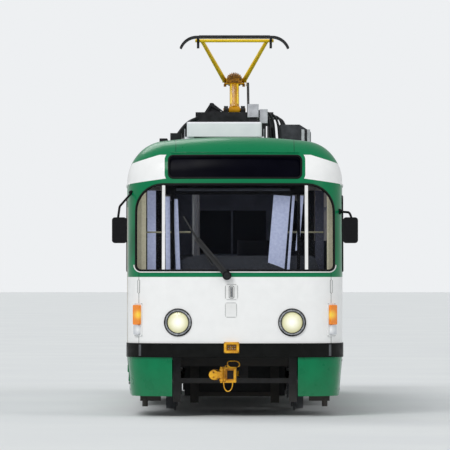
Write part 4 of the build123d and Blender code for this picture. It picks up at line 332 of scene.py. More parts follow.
# Powder coat and paint on roof housings, washed by rain and faintly streaked.
roof_white = simple("powder_coat_white", 0.3, "#efeff4", "#f8f8fb", (0.4, 0.55), gleam=0.12)
roof_grey = simple("powder_coat_light_grey", 0.08, "#a9aaaf", "#c6c7cc", (0.35, 0.55), 0.0005)
resistor_paint = simple("heat_proof_paint_dark", 0.10, "#303035", "#4a4a50", (0.4, 0.6), 0.0006)
frame_black = simple("frame_paint_black", 0.08, "#151517", "#28282c", (0.35, 0.6), 0.0005)
# Glazed electrical porcelain: nearly black and wet-looking. Contact carbon: dull and worn.
porcelain = simple("glazed_porcelain_dark", 0.05, "#151316", "#252124", (0.08, 0.16), Coat_Weight=0.8)
carbon_strip = simple("contact_carbon", 0.03, "#19191b", "#2e2e31", (0.35, 0.6), 0.0005)
# Moulded and laminated fittings inside.
seat_shell = simple("moulded_seat_red", 0.12, "#8d1a16", "#a6231d", (0.35, 0.5), 0.0005)
desk_plastic = simple("grained_desk_grey", 0.02, "#3c3f46", "#4a4d55", (0.55, 0.75), 0.0008)
partition_grey = simple("partition_laminate_grey", 0.2, "#4b4f58", "#5b5f68", (0.5, 0.65))
partition_dark = simple("partition_laminate_dark", 0.2, "#15161c", "#1d1f27", (0.5, 0.65))
black_plastic = simple("grained_plastic_black", 0.012, "#0a0a0c", "#141417", (0.4, 0.6), 0.0006, gleam=0.15)
grab_cream = simple("moulded_grab_cream", 0.1, "#b9b597", "#cfcba9", (0.4, 0.6))
floor_rubber = simple("ribbed_floor_rubber", 0.05, "#3a3c3e", "#4a4c4e", (0.6, 0.8), 0.0008)
# Metals: the colour is the reflection's own.
polished_steel = simple("polished_stainless", 0.04, "#8b8d90", "#b9bbbe", (0.15, 0.3), metallic=1.0)
anodised = simple("anodised_aluminium", 0.06, "#b4b8ba", "#d9dcdd", (0.28, 0.4), metallic=0.85)
step_metal = simple("ribbed_step_plate", 0.05, "#6e7072", "#8f9193", (0.35, 0.55), 0.0008, 0.30, 0.9, metallic=0.7)
brushed_pole = simple("brushed_pole_steel", 0.3, "#a4a6a8", "#b4b6b8", (0.3, 0.4), metallic=0.7)
# The opal covers of the lamps glow a little by themselves. The lavender and cream cloth glows too, though no lamp
# lights it: painted light standing for daylight through the windows.
curtain_grey = simple("curtain_cloth_grey", 0.03, "#4c4f5e", "#5a5d6e", (0.7, 0.9), 0.001)
curtain_cloth, curtain_cream, lamp_cover = [
    simple(name, size, dark, light, rough, bump, Emission_Color=paint(glow), Emission_Strength=strength)
    for name, size, dark, light, rough, bump, glow, strength in (
        ("lavender_cloth_painted_glow", 0.03, "#b9c3e4", "#d0d8f2", (0.7, 0.9), 0.001, "#b4bee2", 0.35),
        ("cream_cloth_painted_glow", 0.03, "#eae5c8", "#f8f4da", (0.7, 0.9), 0.001, "#d8d4b6", 0.35),
        ("opal_lamp_cover", 0.2, "#e9e9e4", "#f6f6f2", (0.3, 0.4), 0.0, "#f4f4ff", 3.0),
    )
]
print("materials:", len(bpy.data.materials))

# %% [markdown]
# ## Wheels: bright where they roll
# A rail wheel is polished by the rail on its tread and flange, and rusty with brake dust on its web. The
# distance from the axle decides which, so the mask is a radius measured from whichever axle is nearest.

# %% Wheel steel
BOGIE_Y, AXLE_HALF, AXLE_Z, TREAD_IN_R = 3.2, 0.95, 0.372, 0.337
wheel_steel, tree, shader, known = begin("rolled_wheel_steel", 0.4, 0.85)
mottle(tree, known, shader, 0.04, "#2b211b", "#4d4038", (0.55, 0.8), 0.001)
for result, operation, *terms in (
    ("dy", "ABSOLUTE", "y"),
    ("dy", "SUBTRACT", "dy", BOGIE_Y),
    ("dy", "ABSOLUTE", "dy"),
    ("dy", "SUBTRACT", "dy", AXLE_HALF),
    ("dz", "SUBTRACT", "z", AXLE_Z),
    ("dy", "POWER", "dy", 2.0),
    ("dz", "POWER", "dz", 2.0),
    ("far", "ADD", "dy", "dz"),
    ("far", "SQRT", "far"),
    ("bright", "GREATER_THAN", "far", TREAD_IN_R),
    ("dull", "MULTIPLY_ADD", "bright", -0.45, 0.7),
):
    sockets = {i: known.get(term, term) for i, term in enumerate(terms)}
    known[result] = add_node(tree, "ShaderNodeMath", sockets, operation=operation).outputs[0]
mix = {"Factor": known["bright"], 6: known["colour"], 7: paint("#77787c")}
plug(tree, shader.inputs["Base Color"], add_node(tree, "ShaderNodeMix", mix, data_type="RGBA").outputs[2])
plug(tree, shader.inputs["Roughness"], known["dull"])
print("wheel steel ready")

# %% [markdown]
# ## Glass and lenses
# Tram glass is toughened and faintly grey. Real transmission is slow and noisy at this size, so the glass is a thin
# film: mostly see-through face on, and a mirror at a glancing angle, which Layer Weight gives. The side and door panes
# turn pale lavender at a glancing angle and glow a little there: a painted reflection of the sky.
# The lenses are moulded acrylic with ribs pressed into the back. Their warm bright middle is a painted highlight, and
# each glows faintly as a lamp.

# %% Glass
def thin_glass(name, tint, slant_tint, face, edge, gleam=0.1, sky=0.0):
    """Film of glass: its own tint and cover seen face on, and another tint and cover seen along it. With sky above
    zero it also glows in that second tint along it: a painted reflection of the sky.
    """
    material, tree, shader, _ = begin(name, 0.05, ior=1.52, gleam=gleam)
    slant = add_node(tree, "ShaderNodeLayerWeight", {"Blend": 0.25}).outputs["Fresnel"]
    mix = {"Factor": slant, 6: paint(tint), 7: paint(slant_tint)}
    colour = add_node(tree, "ShaderNodeMix", mix, data_type="RGBA").outputs[2]
    film = add_node(tree, "ShaderNodeMapRange", {"Value": slant, "To Min": face, "To Max": edge}).outputs["Result"]
    plug(tree, shader.inputs["Base Color"], colour)
    plug(tree, shader.inputs["Alpha"], film)
    if sky:
        glow = add_node(tree, "ShaderNodeMath", {0: slant, 1: sky}, operation="MULTIPLY").outputs[0]
        plug(tree, shader.inputs["Emission Color"], colour)
        plug(tree, shader.inputs["Emission Strength"], glow)
    return material


window_glass = thin_glass("toughened_window_glass", "#0c1018", "#10141c", 0.12, 0.4)
# The side and door panes are pale lavender and glow at a glancing angle: a painted reflection of the sky.
side_glass = thin_glass("toughened_side_pane_painted_sky", "#141a22", "#aab2d0", 0.42, 0.95, sky=0.45)
# Painted shade: the rear panes are nearly opaque dark navy, so the view down the saloon ends in shade.
rear_glass = thin_glass("dark_rear_pane_painted_shade", "#05081a", "#05081a", 0.95, 1.0, 0.06)
door_glass = thin_glass("toughened_door_pane_painted_sky", "#141a22", "#aab2d0", 0.42, 0.95, sky=0.3)
sign_glass = simple("sign_glass_black", 0.3, "#01010a", "#03030f", (0.3, 0.4), gleam=0.05)


def lens(name, outer, middle, highlight_at, radius, glow, rib_pitch):
    """Moulded lens with pressed ribs, painted brighter towards the middle of each lamp: a painted highlight."""
    material, tree, shader, known = begin(name, 0.12, Coat_Weight=0.6, Coat_Roughness=0.05, Emission_Strength=glow)
    for result, operation, *terms in (
        ("dx", "ABSOLUTE", "x"),
        ("dx", "SUBTRACT", "dx", highlight_at[0]),
        ("dz", "SUBTRACT", "z", highlight_at[1]),
        ("dx", "POWER", "dx", 2.0),
        ("dz", "POWER", "dz", 2.0),
        ("far", "ADD", "dx", "dz"),
        ("far", "SQRT", "far"),
        ("near", "MULTIPLY_ADD", "far", -1 / radius, 1.0),
        ("near", "MAXIMUM", "near", 0.0),
        ("rib", "MULTIPLY", "x", 2 * math.pi / rib_pitch),
        ("rib", "SINE", "rib"),
    ):
        sockets = {i: known.get(term, term) for i, term in enumerate(terms)}
        known[result] = add_node(tree, "ShaderNodeMath", sockets, operation=operation).outputs[0]
    soft = add_node(tree, "ShaderNodeMapRange", {"Value": known["near"]}, interpolation_type="SMOOTHSTEP")
    mix = {"Factor": soft.outputs["Result"], 6: paint(outer), 7: paint(middle)}
    colour = add_node(tree, "ShaderNodeMix", mix, data_type="RGBA").outputs[2]
    flutes = {"Height": known["rib"], "Strength": 0.4, "Distance": 0.002}
    plug(tree, shader.inputs["Normal"], add_node(tree, "ShaderNodeBump", flutes).outputs["Normal"])
    for socket in ("Base Color", "Emission Color"):
        plug(tree, shader.inputs[socket], colour)
    return material


HEADLAMP, INDICATOR, MARKER, RIB = (0.638, 1.056), (1.083, 1.140), (1.083, 0.972), 0.012
# Each lens colour is brighter round its middle: a painted highlight. The faint glow is the lamp's own.
headlamp_lens = lens("fluted_headlamp_glass", "#d6d3a4", "#fffdf0", HEADLAMP, 0.125, 0.25, 0.016)
orange_lens = lens("moulded_acrylic_orange", "#e8820c", "#ffd23c", INDICATOR, 0.075, 0.15, RIB)
red_lens = lens("moulded_acrylic_red", "#9c0c0a", "#e8281c", MARKER, 0.060, 0.10, RIB)
clear_lens = lens("moulded_acrylic_clear", "#c9ccd0", "#f4f5f6", MARKER, 0.060, 0.05, RIB)
print("lenses ready")

# %% [markdown]
# ## Dressing the frame's own pieces
# A CAD node whose shape is right keeps its mesh and only gets a finish. This table pairs them.

# %% Finishes for whole nodes
whole = {
    "windscreen_panes": window_glass, "rear_panes": rear_glass, "side_panes_left": side_glass,
    "side_panes_right": side_glass, "destination_sign": sign_glass, "skirt_panels": green_enamel,
    "step_wells": step_metal, "bumper_strips": bumper_rubber, "cable_socket": yellow_enamel,
    "headlamp_rims": polished_steel, "indicator_lamps": orange_lens, "tail_lamps": red_lens,
    "end_plates": white_enamel, "mirrors": black_plastic, "wiper": wiper_steel, "cab_cooling_unit": roof_white,
    "roof_switch_boxes": roof_grey, "roof_stands": frame_black, "resistor_box": resistor_paint,
    "pantograph_base": frame_black, "pantograph_insulators": porcelain, "grab_poles": brushed_pole,
    "seats": seat_shell, "underfloor_boxes": equipment_paint, "towing_frame": gate_paint,
    "track_guards": chassis_paint, "pantograph_lower_arm": arm_yellow_painted_shade, "pantograph_upper_arm": arm_enamel,
    "pantograph_head": carbon_strip, "pantograph_rod": frame_black,
}
for end, label in ENDS:
    whole |= {f"{label}_drawbar": yellow_enamel, f"{label}_coupler_head": yellow_enamel}
    whole[f"bogie_frame_{label}"] = bogie_iron
whole |= {f"wheelset_{i}": wheel_steel for i in range(1, 5)}
for name, finish in whole.items():
    nodes[name].data.materials.clear()
    nodes[name].data.materials.append(finish)
print("whole nodes dressed:", len(whole))

# %% [markdown]
# ## Panels that are painted outside and lined inside
# The shell's panels are enamel outside and laminate inside. One node can't show both without a mask for
# the hidden side, so a merged copy of its mesh stands for it, with a finish for each face. Whether a face
# is outside follows from its normal: it points away from the tram's long middle line.

# %% Copies with a finish for each face
slot_of = {}
for slot, finishes in (
    ("white_plate", [white_enamel]), ("yellow_paint", [yellow_enamel]), ("roof_paint", [green_enamel]),
    ("arm_yellow", [arm_enamel, arm_yellow_painted_shade, bronze_casting]), ("underframe_paint", [chassis_paint, gate_paint]),
    ("bumper_rubber", [seal_rubber, bumper_rubber, cable_rubber, bumper_strap_highlight_grey]), ("black_frame", [frame_black]),
    ("bogie_paint", [bogie_iron]), ("cooler_white", [roof_white]), ("switch_grey", [roof_grey]),
    ("wiper_black", [wiper_steel]), ("desk_grey", [black_plastic, desk_plastic, partition_grey, partition_dark]),
    ("step_plate", [floor_rubber, anodised]), ("collector", [carbon_strip]), ("lamp_ring", [polished_steel]),
    ("pole_steel", [brushed_pole]), ("orange_lens", [orange_lens]),
):
    slot_of |= {finish.name: slot for finish in finishes}
body_of = {node: body for body, members in frame["record"]["behaviour"]["bodies"].items() for node in members}


def add_piece(name, mesh, body):
    """New piece that rides on a body."""
    made = bpy.data.objects.new(name, mesh)
    scene.collection.objects.link(made)
    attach(made, body)
    return made


def even_normals(mesh):
    """Corner normals weighted by face area, so that long thin faces beside a bend don't shade crooked."""
    limit = math.cos(math.radians(32))
    around = [[] for _ in mesh.vertices]
    for face in mesh.polygons:
        for i in face.vertices:
            around[i].append((face.normal.copy(), face.area))
    normals = []
    for face in mesh.polygons:
        for i in face.vertices:
            near = [n * area for n, area in around[i] if n.dot(face.normal) > limit]
            normals.append(sum(near, face.normal * 1e-9).normalized())
    mesh.normals_split_custom_set(normals)


def stand_in(node, finishes, pick=None, pick_all=None):
    """Copy of a node's mesh with a finish picked for each face, shown in the node's place."""
    bm = bmesh.new()
    bm.from_mesh(nodes[node].data)
    bmesh.ops.remove_doubles(bm, verts=bm.verts, dist=2e-5)
    bmesh.ops.dissolve_degenerate(bm, edges=bm.edges, dist=1e-6)
    kinds = pick_all(bm) if pick_all else [pick(face) if pick else 0 for face in bm.faces]
    for face, kind in zip(bm.faces, kinds):
        face.material_index = kind
        face.smooth = True
    mesh = bpy.data.meshes.new(f"{node}_dressed")
    bm.to_mesh(mesh)
    bm.free()
    for finish in finishes:
        mesh.materials.append(finish)
    even_normals(mesh)
    made = add_piece(f"{node}_dressed", mesh, body_of[node])
    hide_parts(node)


def lining(face):
    """0 outside, 1 inside wall, 2 ceiling."""
    centre = face.calc_center_median()
    middle = Vector((0, max(-5.6, min(5.6, centre.y)), 1.75))
    inward = face.normal.dot((centre - middle).normalized()) < 0.12
    return 0 if not inward else 2 if face.normal.z < -0.5 else 1


def floor_finish(face):
    """1 the floor's upper side, 0 everything under it."""
    return 1 if face.normal.z > 0.9 and face.calc_center_median().z > 0.91 else 0


def cab_finish(face):
    """0 desk, 1 the driver's partition."""
    return 0 if face.calc_center_median().y < -6.3 else 1


def lamp_finish(face):
    """0 headlamps, 1 the clear lenses at the corners."""
    return 0 if abs(face.calc_center_median().x) < 0.9 else 1


def by_island_thickness(bm):
    """1 for thin loose pieces, which are the leaf's glass, 2 for inside faces, else 0."""
    bm.faces.index_update()
    kinds = [0] * len(bm.faces)
    seen = set()
    for start in bm.faces:
        if start.index in seen:
            continue
        island, queue = [], [start]
        seen.add(start.index)
        while queue:
            face = queue.pop()
            island.append(face)
            for edge in face.edges:
                for other in edge.link_faces:
                    if other.index not in seen:
                        seen.add(other.index)
                        queue.append(other)
        xs = [v.co.x for face in island for v in face.verts]
        for face in island:
            kinds[face.index] = 1 if max(xs) - min(xs) < 0.012 else 2 if face.normal.x > 0.5 else 0
    return kinds


SHELL = ("front_end", "rear_end", "side_wall_left", "side_wall_right", "roof_shell")
for name in SHELL:
    stand_in(name, (body_enamel, wall_laminate, ceiling_board), lining)
stand_in("underframe", (chassis_paint, floor_rubber), floor_finish)
stand_in("cab_fittings", (desk_plastic, partition_dark), cab_finish)
stand_in("lamp_lenses", (headlamp_lens, clear_lens), lamp_finish)
one_finish = [
    "headlamp_rims", "indicator_lamps", "tail_lamps", "mirrors", "wiper", "cable_socket", "grab_poles",
    "roof_switch_boxes", "cab_cooling_unit", "skirt_panels", "bumper_strips", "end_plates", "track_guards",
]
moving = ("pantograph", "wheelset", "bogie", "front_draw", "rear_draw", "front_coup", "rear_coup")
one_finish += [n for n in nodes if n.startswith(moving)]
for name in one_finish:
    stand_in(name, (whole[name],))
leaves = [n for n in nodes if n.endswith("_leaf")]
for name in leaves:
    stand_in(name, (body_enamel, door_glass, wall_laminate), pick_all=by_island_thickness)
print("stand-ins:", len(SHELL) + 3 + len(one_finish) + len(leaves))

# %% [markdown]
# ## A tree that follows a path
# Seals, beads and cables are one section drawn along a line. By hand that is a mesh for each. A small
# geometry tree does all: it turns edges into curves, stands the section on the outward direction stored
# on each point, sweeps it, and gives it its finish. Bolts, slats and springs are copies on points.

# %% Geometry trees
def new_tree(name, **sockets):
    """Geometry tree with named inputs and a finish; returns it, its inputs and the stored outward direction."""
    tree = bpy.data.node_groups.new(name, "GeometryNodeTree")
    tree.interface.new_socket("Geometry", in_out="INPUT", socket_type="NodeSocketGeometry")
    for socket, kind in {**sockets, "Finish": "Material"}.items():
        tree.interface.new_socket(socket, in_out="INPUT", socket_type=f"NodeSocket{kind}")
    tree.interface.new_socket("Geometry", in_out="OUTPUT", socket_type="NodeSocketGeometry")
    stored = add_node(tree, "GeometryNodeInputNamedAttribute", {"Name": "outward"}, data_type="FLOAT_VECTOR")
    return tree, add_node(tree, "NodeGroupInput").outputs, stored.outputs[0]


def close_tree(tree, given, geometry):
    """Ends a tree the same way each time: real geometry with its finish."""
    real = add_node(tree, "GeometryNodeRealizeInstances", {0: geometry}).outputs[0]
    done = add_node(tree, "GeometryNodeSetMaterial", {"Geometry": real, "Material": given["Finish"]})
    add_node(tree, "NodeGroupOutput", {0: done.outputs[0]})


def copy_to_points(tree, given, outward, shape):
    """Puts the shape on each point, turned along the outward direction, and ends the tree."""
    turn = add_node(tree, "FunctionNodeAlignRotationToVector", {"Vector": outward}, axis="Z").outputs[0]
    places = {"Points": given["Geometry"], "Instance": shape, "Rotation": turn}
    close_tree(tree, given, add_node(tree, "GeometryNodeInstanceOnPoints", places).outputs[0])


def run_tree(tree, name, mesh, body, smooth=30, **settings):
    """Runs a tree on a mesh and keeps the result as a plain piece that rides on a body."""
    start = bpy.data.objects.new(name + "_start", mesh)
    scene.collection.objects.link(start)
    modifier = start.modifiers.new("tree", "NODES")
    modifier.node_group = tree
    for item in tree.interface.items_tree:
        if item.in_out == "INPUT" and item.name in settings:
            modifier[item.identifier] = settings[item.name]
    ready = start.evaluated_get(bpy.context.evaluated_depsgraph_get())
    result = bpy.data.meshes.new_from_object(ready)
    bpy.data.objects.remove(start)
    for polygon in result.polygons:
        polygon.use_smooth = bool(smooth)
    if smooth:
        result.set_sharp_from_angle(angle=math.radians(smooth))
    return add_piece(name, result, body)


def drawn(name, pairs, edges=()):
    """Mesh of (place, outward) pairs, with edges between them if it is a path."""
    mesh = bpy.data.meshes.new(name)
    mesh.from_pydata([place for place, _ in pairs], list(edges), [])
    layer = mesh.attributes.new("outward", "FLOAT_VECTOR", "POINT")
    layer.data.foreach_set("vector", [c for _, outward in pairs for c in outward])
    return mesh


def facing(heading, places):
    """(place, outward) pairs that all look the same way."""
    return [(Vector(place), Vector(heading)) for place in places]


sweep, given, outward = new_tree("sweep_along_path", Width="Float", Height="Float", Round="Float")
path = add_node(sweep, "GeometryNodeMeshToCurve", {0: given["Geometry"]}).outputs[0]
stood = {"Curve": path, "Normal": outward}
path = add_node(sweep, "GeometryNodeSetCurveNormal", stood, mode="FREE").outputs[0]
section = {"Width": given["Height"], "Height": given["Width"]}
section = add_node(sweep, "GeometryNodeCurvePrimitiveQuadrilateral", section).outputs[0]
section = {"Curve": section, "Radius": given["Round"], "Count": 2}
section = add_node(sweep, "GeometryNodeFilletCurve", section, mode="POLY").outputs[0]
swept = {"Curve": path, "Profile Curve": section, "Fill Caps": True}
close_tree(sweep, given, add_node(sweep, "GeometryNodeCurveToMesh", swept).outputs[0])


def trim(name, runs, width, height, finish, body="root", closed=True, soft=0.3):
    """Strip along each run of (place, outward) pairs."""
    edges, first = [], 0
    for run in runs:
        points = range(first, first + len(run))
        edges += list(zip(points, points[1:]))
        if closed:
            edges.append((points[-1], first))
        first += len(run)
    mesh = drawn(name, [pair for run in runs for pair in run], edges)
    edge_r = soft * min(width, height)
    return run_tree(sweep, name, mesh, body, Width=width, Height=height, Round=edge_r, Finish=finish)


head_tree, given, outward = new_tree("heads_on_points", Radius="Float", Height="Float", Sides="Int")
head = {"Vertices": given["Sides"], "Radius": given["Radius"], "Depth": given["Height"]}
head = add_node(head_tree, "GeometryNodeMeshCylinder", head).outputs["Mesh"]
copy_to_points(head_tree, given, outward, head)

block_tree, given, outward = new_tree("blocks_on_points", Size="Vector")
block = add_node(block_tree, "GeometryNodeMeshCube", {"Size": given["Size"]}).outputs["Mesh"]
copy_to_points(block_tree, given, outward, block)

coil_tree, given, outward = new_tree("coils_on_points", Radius="Float", Height="Float", Turns="Float", Wire="Float")
turns = {"Resolution": 20, "Rotations": given["Turns"], "Height": given["Height"]}
turns |= {"Start Radius": given["Radius"], "End Radius": given["Radius"]}
spiral = add_node(coil_tree, "GeometryNodeCurveSpiral", turns).outputs[0]
wire = {"Resolution": 8, "Radius": given["Wire"]}
wire = add_node(coil_tree, "GeometryNodeCurvePrimitiveCircle", wire).outputs["Curve"]
coil = {"Curve": spiral, "Profile Curve": wire, "Fill Caps": True}
coil = add_node(coil_tree, "GeometryNodeCurveToMesh", coil).outputs[0]
copy_to_points(coil_tree, given, outward, coil)


def heads_at(name, pairs, radius, height, finish, body="root", sides=10):
    """Round or six-sided heads at (place, outward) pairs."""
    return run_tree(
        head_tree, name, drawn(name, pairs), body, Radius=radius, Height=height, Sides=sides, Finish=finish
    )


def blocks_at(name, places, size, finish, body="root"):
    """The same small block at each place, such as slats, ribs and feet."""
    mesh = drawn(name, facing((0, 0, 1), places))
    return run_tree(block_tree, name, mesh, body, 0, Size=size, Finish=finish)


def coils_at(name, pairs, radius, height, turns, wire, finish, body):
    """Springs that start at (place, axis) pairs."""
    sizes = {"Radius": radius, "Height": height, "Turns": turns, "Wire": wire}
    return run_tree(coil_tree, name, drawn(name, pairs), body, 60, Finish=finish, **sizes)


print("trees:", [t.name for t in bpy.data.node_groups])

# %% [markdown]
# ## Window seals
# Every pane sits in an extruded rubber seal that stands a little proud of the enamel. The windscreen's seal
# has a bright filler strip along its foot and round its lower corners, which the photograph shows clearly.

# %% Seals
def end_run(outline, out, end=-1):
    """Pairs on the front or rear face along an (x, z) outline."""
    return [on_end(x, z, out, end) for x, z in outline]


PANE_X, PANE_TOP, BEAD_X, BEAD_LOW, BEAD_TOP, BEAD_CUT = 1.110, 2.603, 1.128, 1.620, 2.620, 1.72
SIGN_X, SIGN_LOW, SIGN_TOP = 0.743, 2.675, 2.927
SIDE_PANE_TOP, SLIDER_Z, LEFT_PITCH, DOOR_PITCH = 2.480, 2.20, 1.36, 1.31
for end, label in ENDS:
    around = rounded(-PANE_X, PANE_X, BELT, PANE_TOP, (0.060, 0.060, 0.30, 0.30))
    trim(f"{label}_window_seals", [end_run(around, 0.002, end)], 0.026, 0.022, seal_rubber)
    pillars = [end_run([(s * PILLAR_X, 1.642 + 0.119 * i) for i in range(9)], 0.003, end) for s in SIDES]
    trim(f"{label}_pillar_covers", pillars, 0.036, 0.012, white_enamel, closed=False)
    around = rounded(-BEAD_X, BEAD_X, BEAD_LOW, BEAD_TOP, (0.078, 0.078, 0.31, 0.31))
    bead = end_run(sorted((x, z) for x, z in around if z < BEAD_CUT), 0.006, end)
    trim(f"{label}_window_bead", [bead], 0.014, 0.012, white_enamel, closed=False)
around = rounded(-SIGN_X, SIGN_X, SIGN_LOW, SIGN_TOP, 0.05)
trim("sign_seal", [end_run(around, 0.001)], 0.020, 0.016, seal_rubber)

side_lights = [(1, -5.6, 0.8)] + [(1, -4.4 + LEFT_PITCH * i, 1.18) for i in range(8)]
side_lights += [(-1, half * 2.7 + DOOR_PITCH * i, 1.18) for half in SIDES for i in (-1, 0, 1)]
runs, rails = [], []
for side, y, width in side_lights:
    outline = rounded(y - width / 2, y + width / 2, BELT, SIDE_PANE_TOP, 0.09)
    runs.append([on_side(side, u, v, 0.002) for u, v in outline])
    rails.append([on_side(side, y + width * (i / 10 - 0.5) * 0.96, SLIDER_Z, -0.008) for i in range(11)])
trim("side_window_seals", runs, 0.024, 0.020, seal_rubber)
trim("side_window_sliders", rails, 0.030, 0.014, anodised, closed=False)
print("side windows sealed:", len(runs))

# %% [markdown]
# ## Landing pieces on a solid
# A screw that floats a millimetre off its panel shows as a dark spot. A ray is shot at the frame's own
# mesh instead, and the piece is put where it lands, turned along the surface there.

# %% Rays
def surface_of(*names):
    """Ray target made of nodes' meshes."""
    points, faces = [], []
    for name in names:
        data = nodes[name].data
        first = len(points)
        points += [v.co.copy() for v in data.vertices]
        faces += [[first + i for i in p.vertices] for p in data.polygons]
    return BVHTree.FromPolygons(points, faces)


def land(target, start, heading, out=0.0):
    """Where a ray lands, and the direction away from the surface there."""
    heading = Vector(heading)
    hit, away, _, _ = target.ray_cast(Vector(start), heading)
    away = -away if away.dot(heading) > 0 else away
    return hit + away * out, away


def face_run(target, pairs, end=-1, out=0.0):
    """Landings on the front (end -1) or rear face for (x, z) pairs."""
    return [land(target, (x, end * 9, z), (0, -end, 0), out) for x, z in pairs]


def ring(x, z, radius, count=40):
    """Circle of (x, z) pairs."""
    turns = [2 * math.pi * i / count for i in range(count)]
    return [(x + radius * math.cos(a), z + radius * math.sin(a)) for a in turns]


def bent(corners, reach, steps=5):
    """Points of a tube's middle line, rounded at each corner over the given reach."""
    corners = [Vector(corner) for corner in corners]
    line = corners[:1]
    for before, at, after in zip(corners, corners[1:], corners[2:]):
        start = at + (before - at).normalized() * min(reach, (before - at).length * 0.49)
        stop = at + (after - at).normalized() * min(reach, (after - at).length * 0.49)
        for i in range(steps + 1):
            t = i / steps
            line.append(start * (1 - t) ** 2 + at * 2 * t * (1 - t) + stop * t**2)
    return line + corners[-1:]


def tubes(name, lines, diameter, finish, body="root", closed=False):
    """Round bars along point lines."""
    runs = []
    for line in lines:
        run = []
        for i, point in enumerate(line):
            along = line[min(i + 1, len(line) - 1)] - line[max(i - 1, 0)]
            side = Vector((1, 0, 0)) if abs(along.normalized().x) < 0.9 else Vector((0, 0, 1))
            run.append((point, (side - along * side.dot(along) / along.length_squared).normalized()))
        runs.append(run)
    trim(name, runs, diameter, diameter, finish, body, closed, 0.5)


shell = surface_of(*SHELL)
print("rays ready")

# %% [markdown]
# ## Rain gutters, mouldings and bumper straps
# Water from the roof would run over the windows, so a gutter follows each cant rail and ends at the front in a white
# knob. A lip keeps rain off the sign. Lighter grey straps lie across the rubber bumper where it bends round its
# corners: joint straps, and also a painted highlight on that bend.

# %% Gutters and straps
GUTTER_Z, LIP_Z, STRAP_X, BUMPER_LOW, BUMPER_MID, BUMPER_HIGH = 2.612, 2.960, 1.065, 0.676, 0.745, 0.812
runs = [[land(shell, (s * 2, -6.35 + 0.127 * i, GUTTER_Z), (-s, 0, 0), 0.004) for i in range(101)] for s in SIDES]
trim("cant_rail_gutters", runs, 0.020, 0.018, white_enamel, closed=False)
knobs = [run[i] for run in runs for i in (0, -1)]
heads_at("gutter_knobs", knobs, 0.016, 0.030, white_enamel, sides=16)
lip = [(x / 100, LIP_Z) for x in range(-72, 73, 6)]
trim("sign_rain_lip", [face_run(shell, lip, -1, 0.004)], 0.012, 0.014, green_enamel, closed=False)
bumper = surface_of("bumper_strips")
# Straps where the bumper bends round its corners: partly a painted highlight on that bend.
runs = [
    face_run(bumper, [(s * STRAP_X, z) for z in (BUMPER_LOW, BUMPER_MID, BUMPER_HIGH)], end, 0.001)
    for s in SIDES for end in (-1, 1)
]
trim("bumper_bend_straps", runs, 0.036, 0.005, bumper_strap_highlight_grey, closed=False)
runs = [
    face_run(bumper, [(x / 50, z) for x in range(-58, 59)], end, 0.001)
    for end in (-1, 1) for z in (BUMPER_LOW, BUMPER_HIGH)
]
trim("bumper_edge_beads", runs, 0.010, 0.008, bumper_rubber, closed=False)
print("gutters, lip and straps made")

# %% [markdown]
# ## Lamps and flaps on the front
# The headlamp sits in a polished ring between two black gaskets. The small flaps are outlined by the
# dark gap round them, and the upper one has a recessed pull handle.

# %% Lamp gaskets and flap handles
SOCKET_X, SOCKET_Z = -0.039, 0.777  # the upper flap's handle stands over the socket
lamp_face = surface_of("headlamp_rims", "lamp_lenses")
for name, target, radius, out, width, height, finish in (
    ("gaskets", shell, 0.1535, 0.003, 0.007, 0.010, seal_rubber),
    ("inner_gaskets", lamp_face, 0.122, 0.001, 0.009, 0.007, seal_rubber),
    ("ring_edges", lamp_face, 0.1465, 0.001, 0.006, 0.006, frame_black),
):
    runs = [face_run(target, ring(s * HEADLAMP[0], HEADLAMP[1], radius), -1, out) for s in SIDES]
    trim(f"headlamp_{name}", runs, width, height, finish)

plates = surface_of("end_plates", "front_end", "rear_end")
flaps = [
    rounded(low_x, high_x, low_z, high_z, radius, 0.03) for low_x, high_x, low_z, high_z, radius in (
        (-0.108, 0.029, 1.311, 1.481, 0.026), (-0.107, 0.017, 1.116, 1.274, 0.018),
        (-1.0905, -1.0685, 1.384, 1.531, 0.010), (1.0685, 1.0905, 1.384, 1.531, 0.010),
    )
]
trim("flap_gaps", [face_run(shell, pairs, -1, 0.001) for pairs in flaps], 0.006, 0.004, gap_line)
pull = rounded(-0.066, -0.012, 1.328, 1.464, 0.014, 0.03)
trim("flap_handle_frame", [face_run(plates, pull, -1, 0.001)], 0.006, 0.005, gap_line)
lever = [(SOCKET_X, z) for z in (1.340, 1.396, 1.452)]
# The recess behind the lever is a thin black strip: painted shade.
trim("flap_handle_shade", [face_run(plates, lever, -1, 0.001)], 0.026, 0.003, seal_rubber, closed=False)
trim("flap_handle_lever", [face_run(plates, lever, -1, 0.006)], 0.011, 0.010, polished_steel, closed=False)
screws = [(s * x, z) for s in SIDES for x in (1.0465, 1.1215) for z in (0.905, 1.263)]
for name, end in (("lamp_plate_screws", -1), ("rear_lamp_plate_screws", 1)):
    heads_at(name, face_run(plates, screws, end, 0.001), 0.005, 0.004, polished_steel)
print("front fittings made")

# %% [markdown]
# ## Socket and coupler
# Both take hard knocks and are painted yellow so that staff find them in the dark. The pocket of the
# drawbar is a black hole with two bent lifting handles and a small ring of round bar, which move with it.

# %% Socket and coupler details
socket = surface_of("cable_socket")
floor_at, away = land(socket, (SOCKET_X, -9, SOCKET_Z), (0, 1, 0))
blocks_at("socket_contact_plate", [floor_at + away * 0.002], (0.116, 0.004, 0.062), bronze_casting)
pins = [(SOCKET_X + 0.024 * i, SOCKET_Z + 0.014 * j) for i in (-1.5, -0.5, 0.5, 1.5) for j in (-1, 1)]
heads_at("socket_pins", face_run(socket, pins, -1, 0.006), 0.005, 0.006, polished_steel)
corners = [(SOCKET_X + s * 0.076, SOCKET_Z + t * 0.054) for s in SIDES for t in (-1, 1)]
heads_at("socket_screws", face_run(socket, corners, -1, 0.001), 0.006, 0.004, bronze_casting, sides=6)

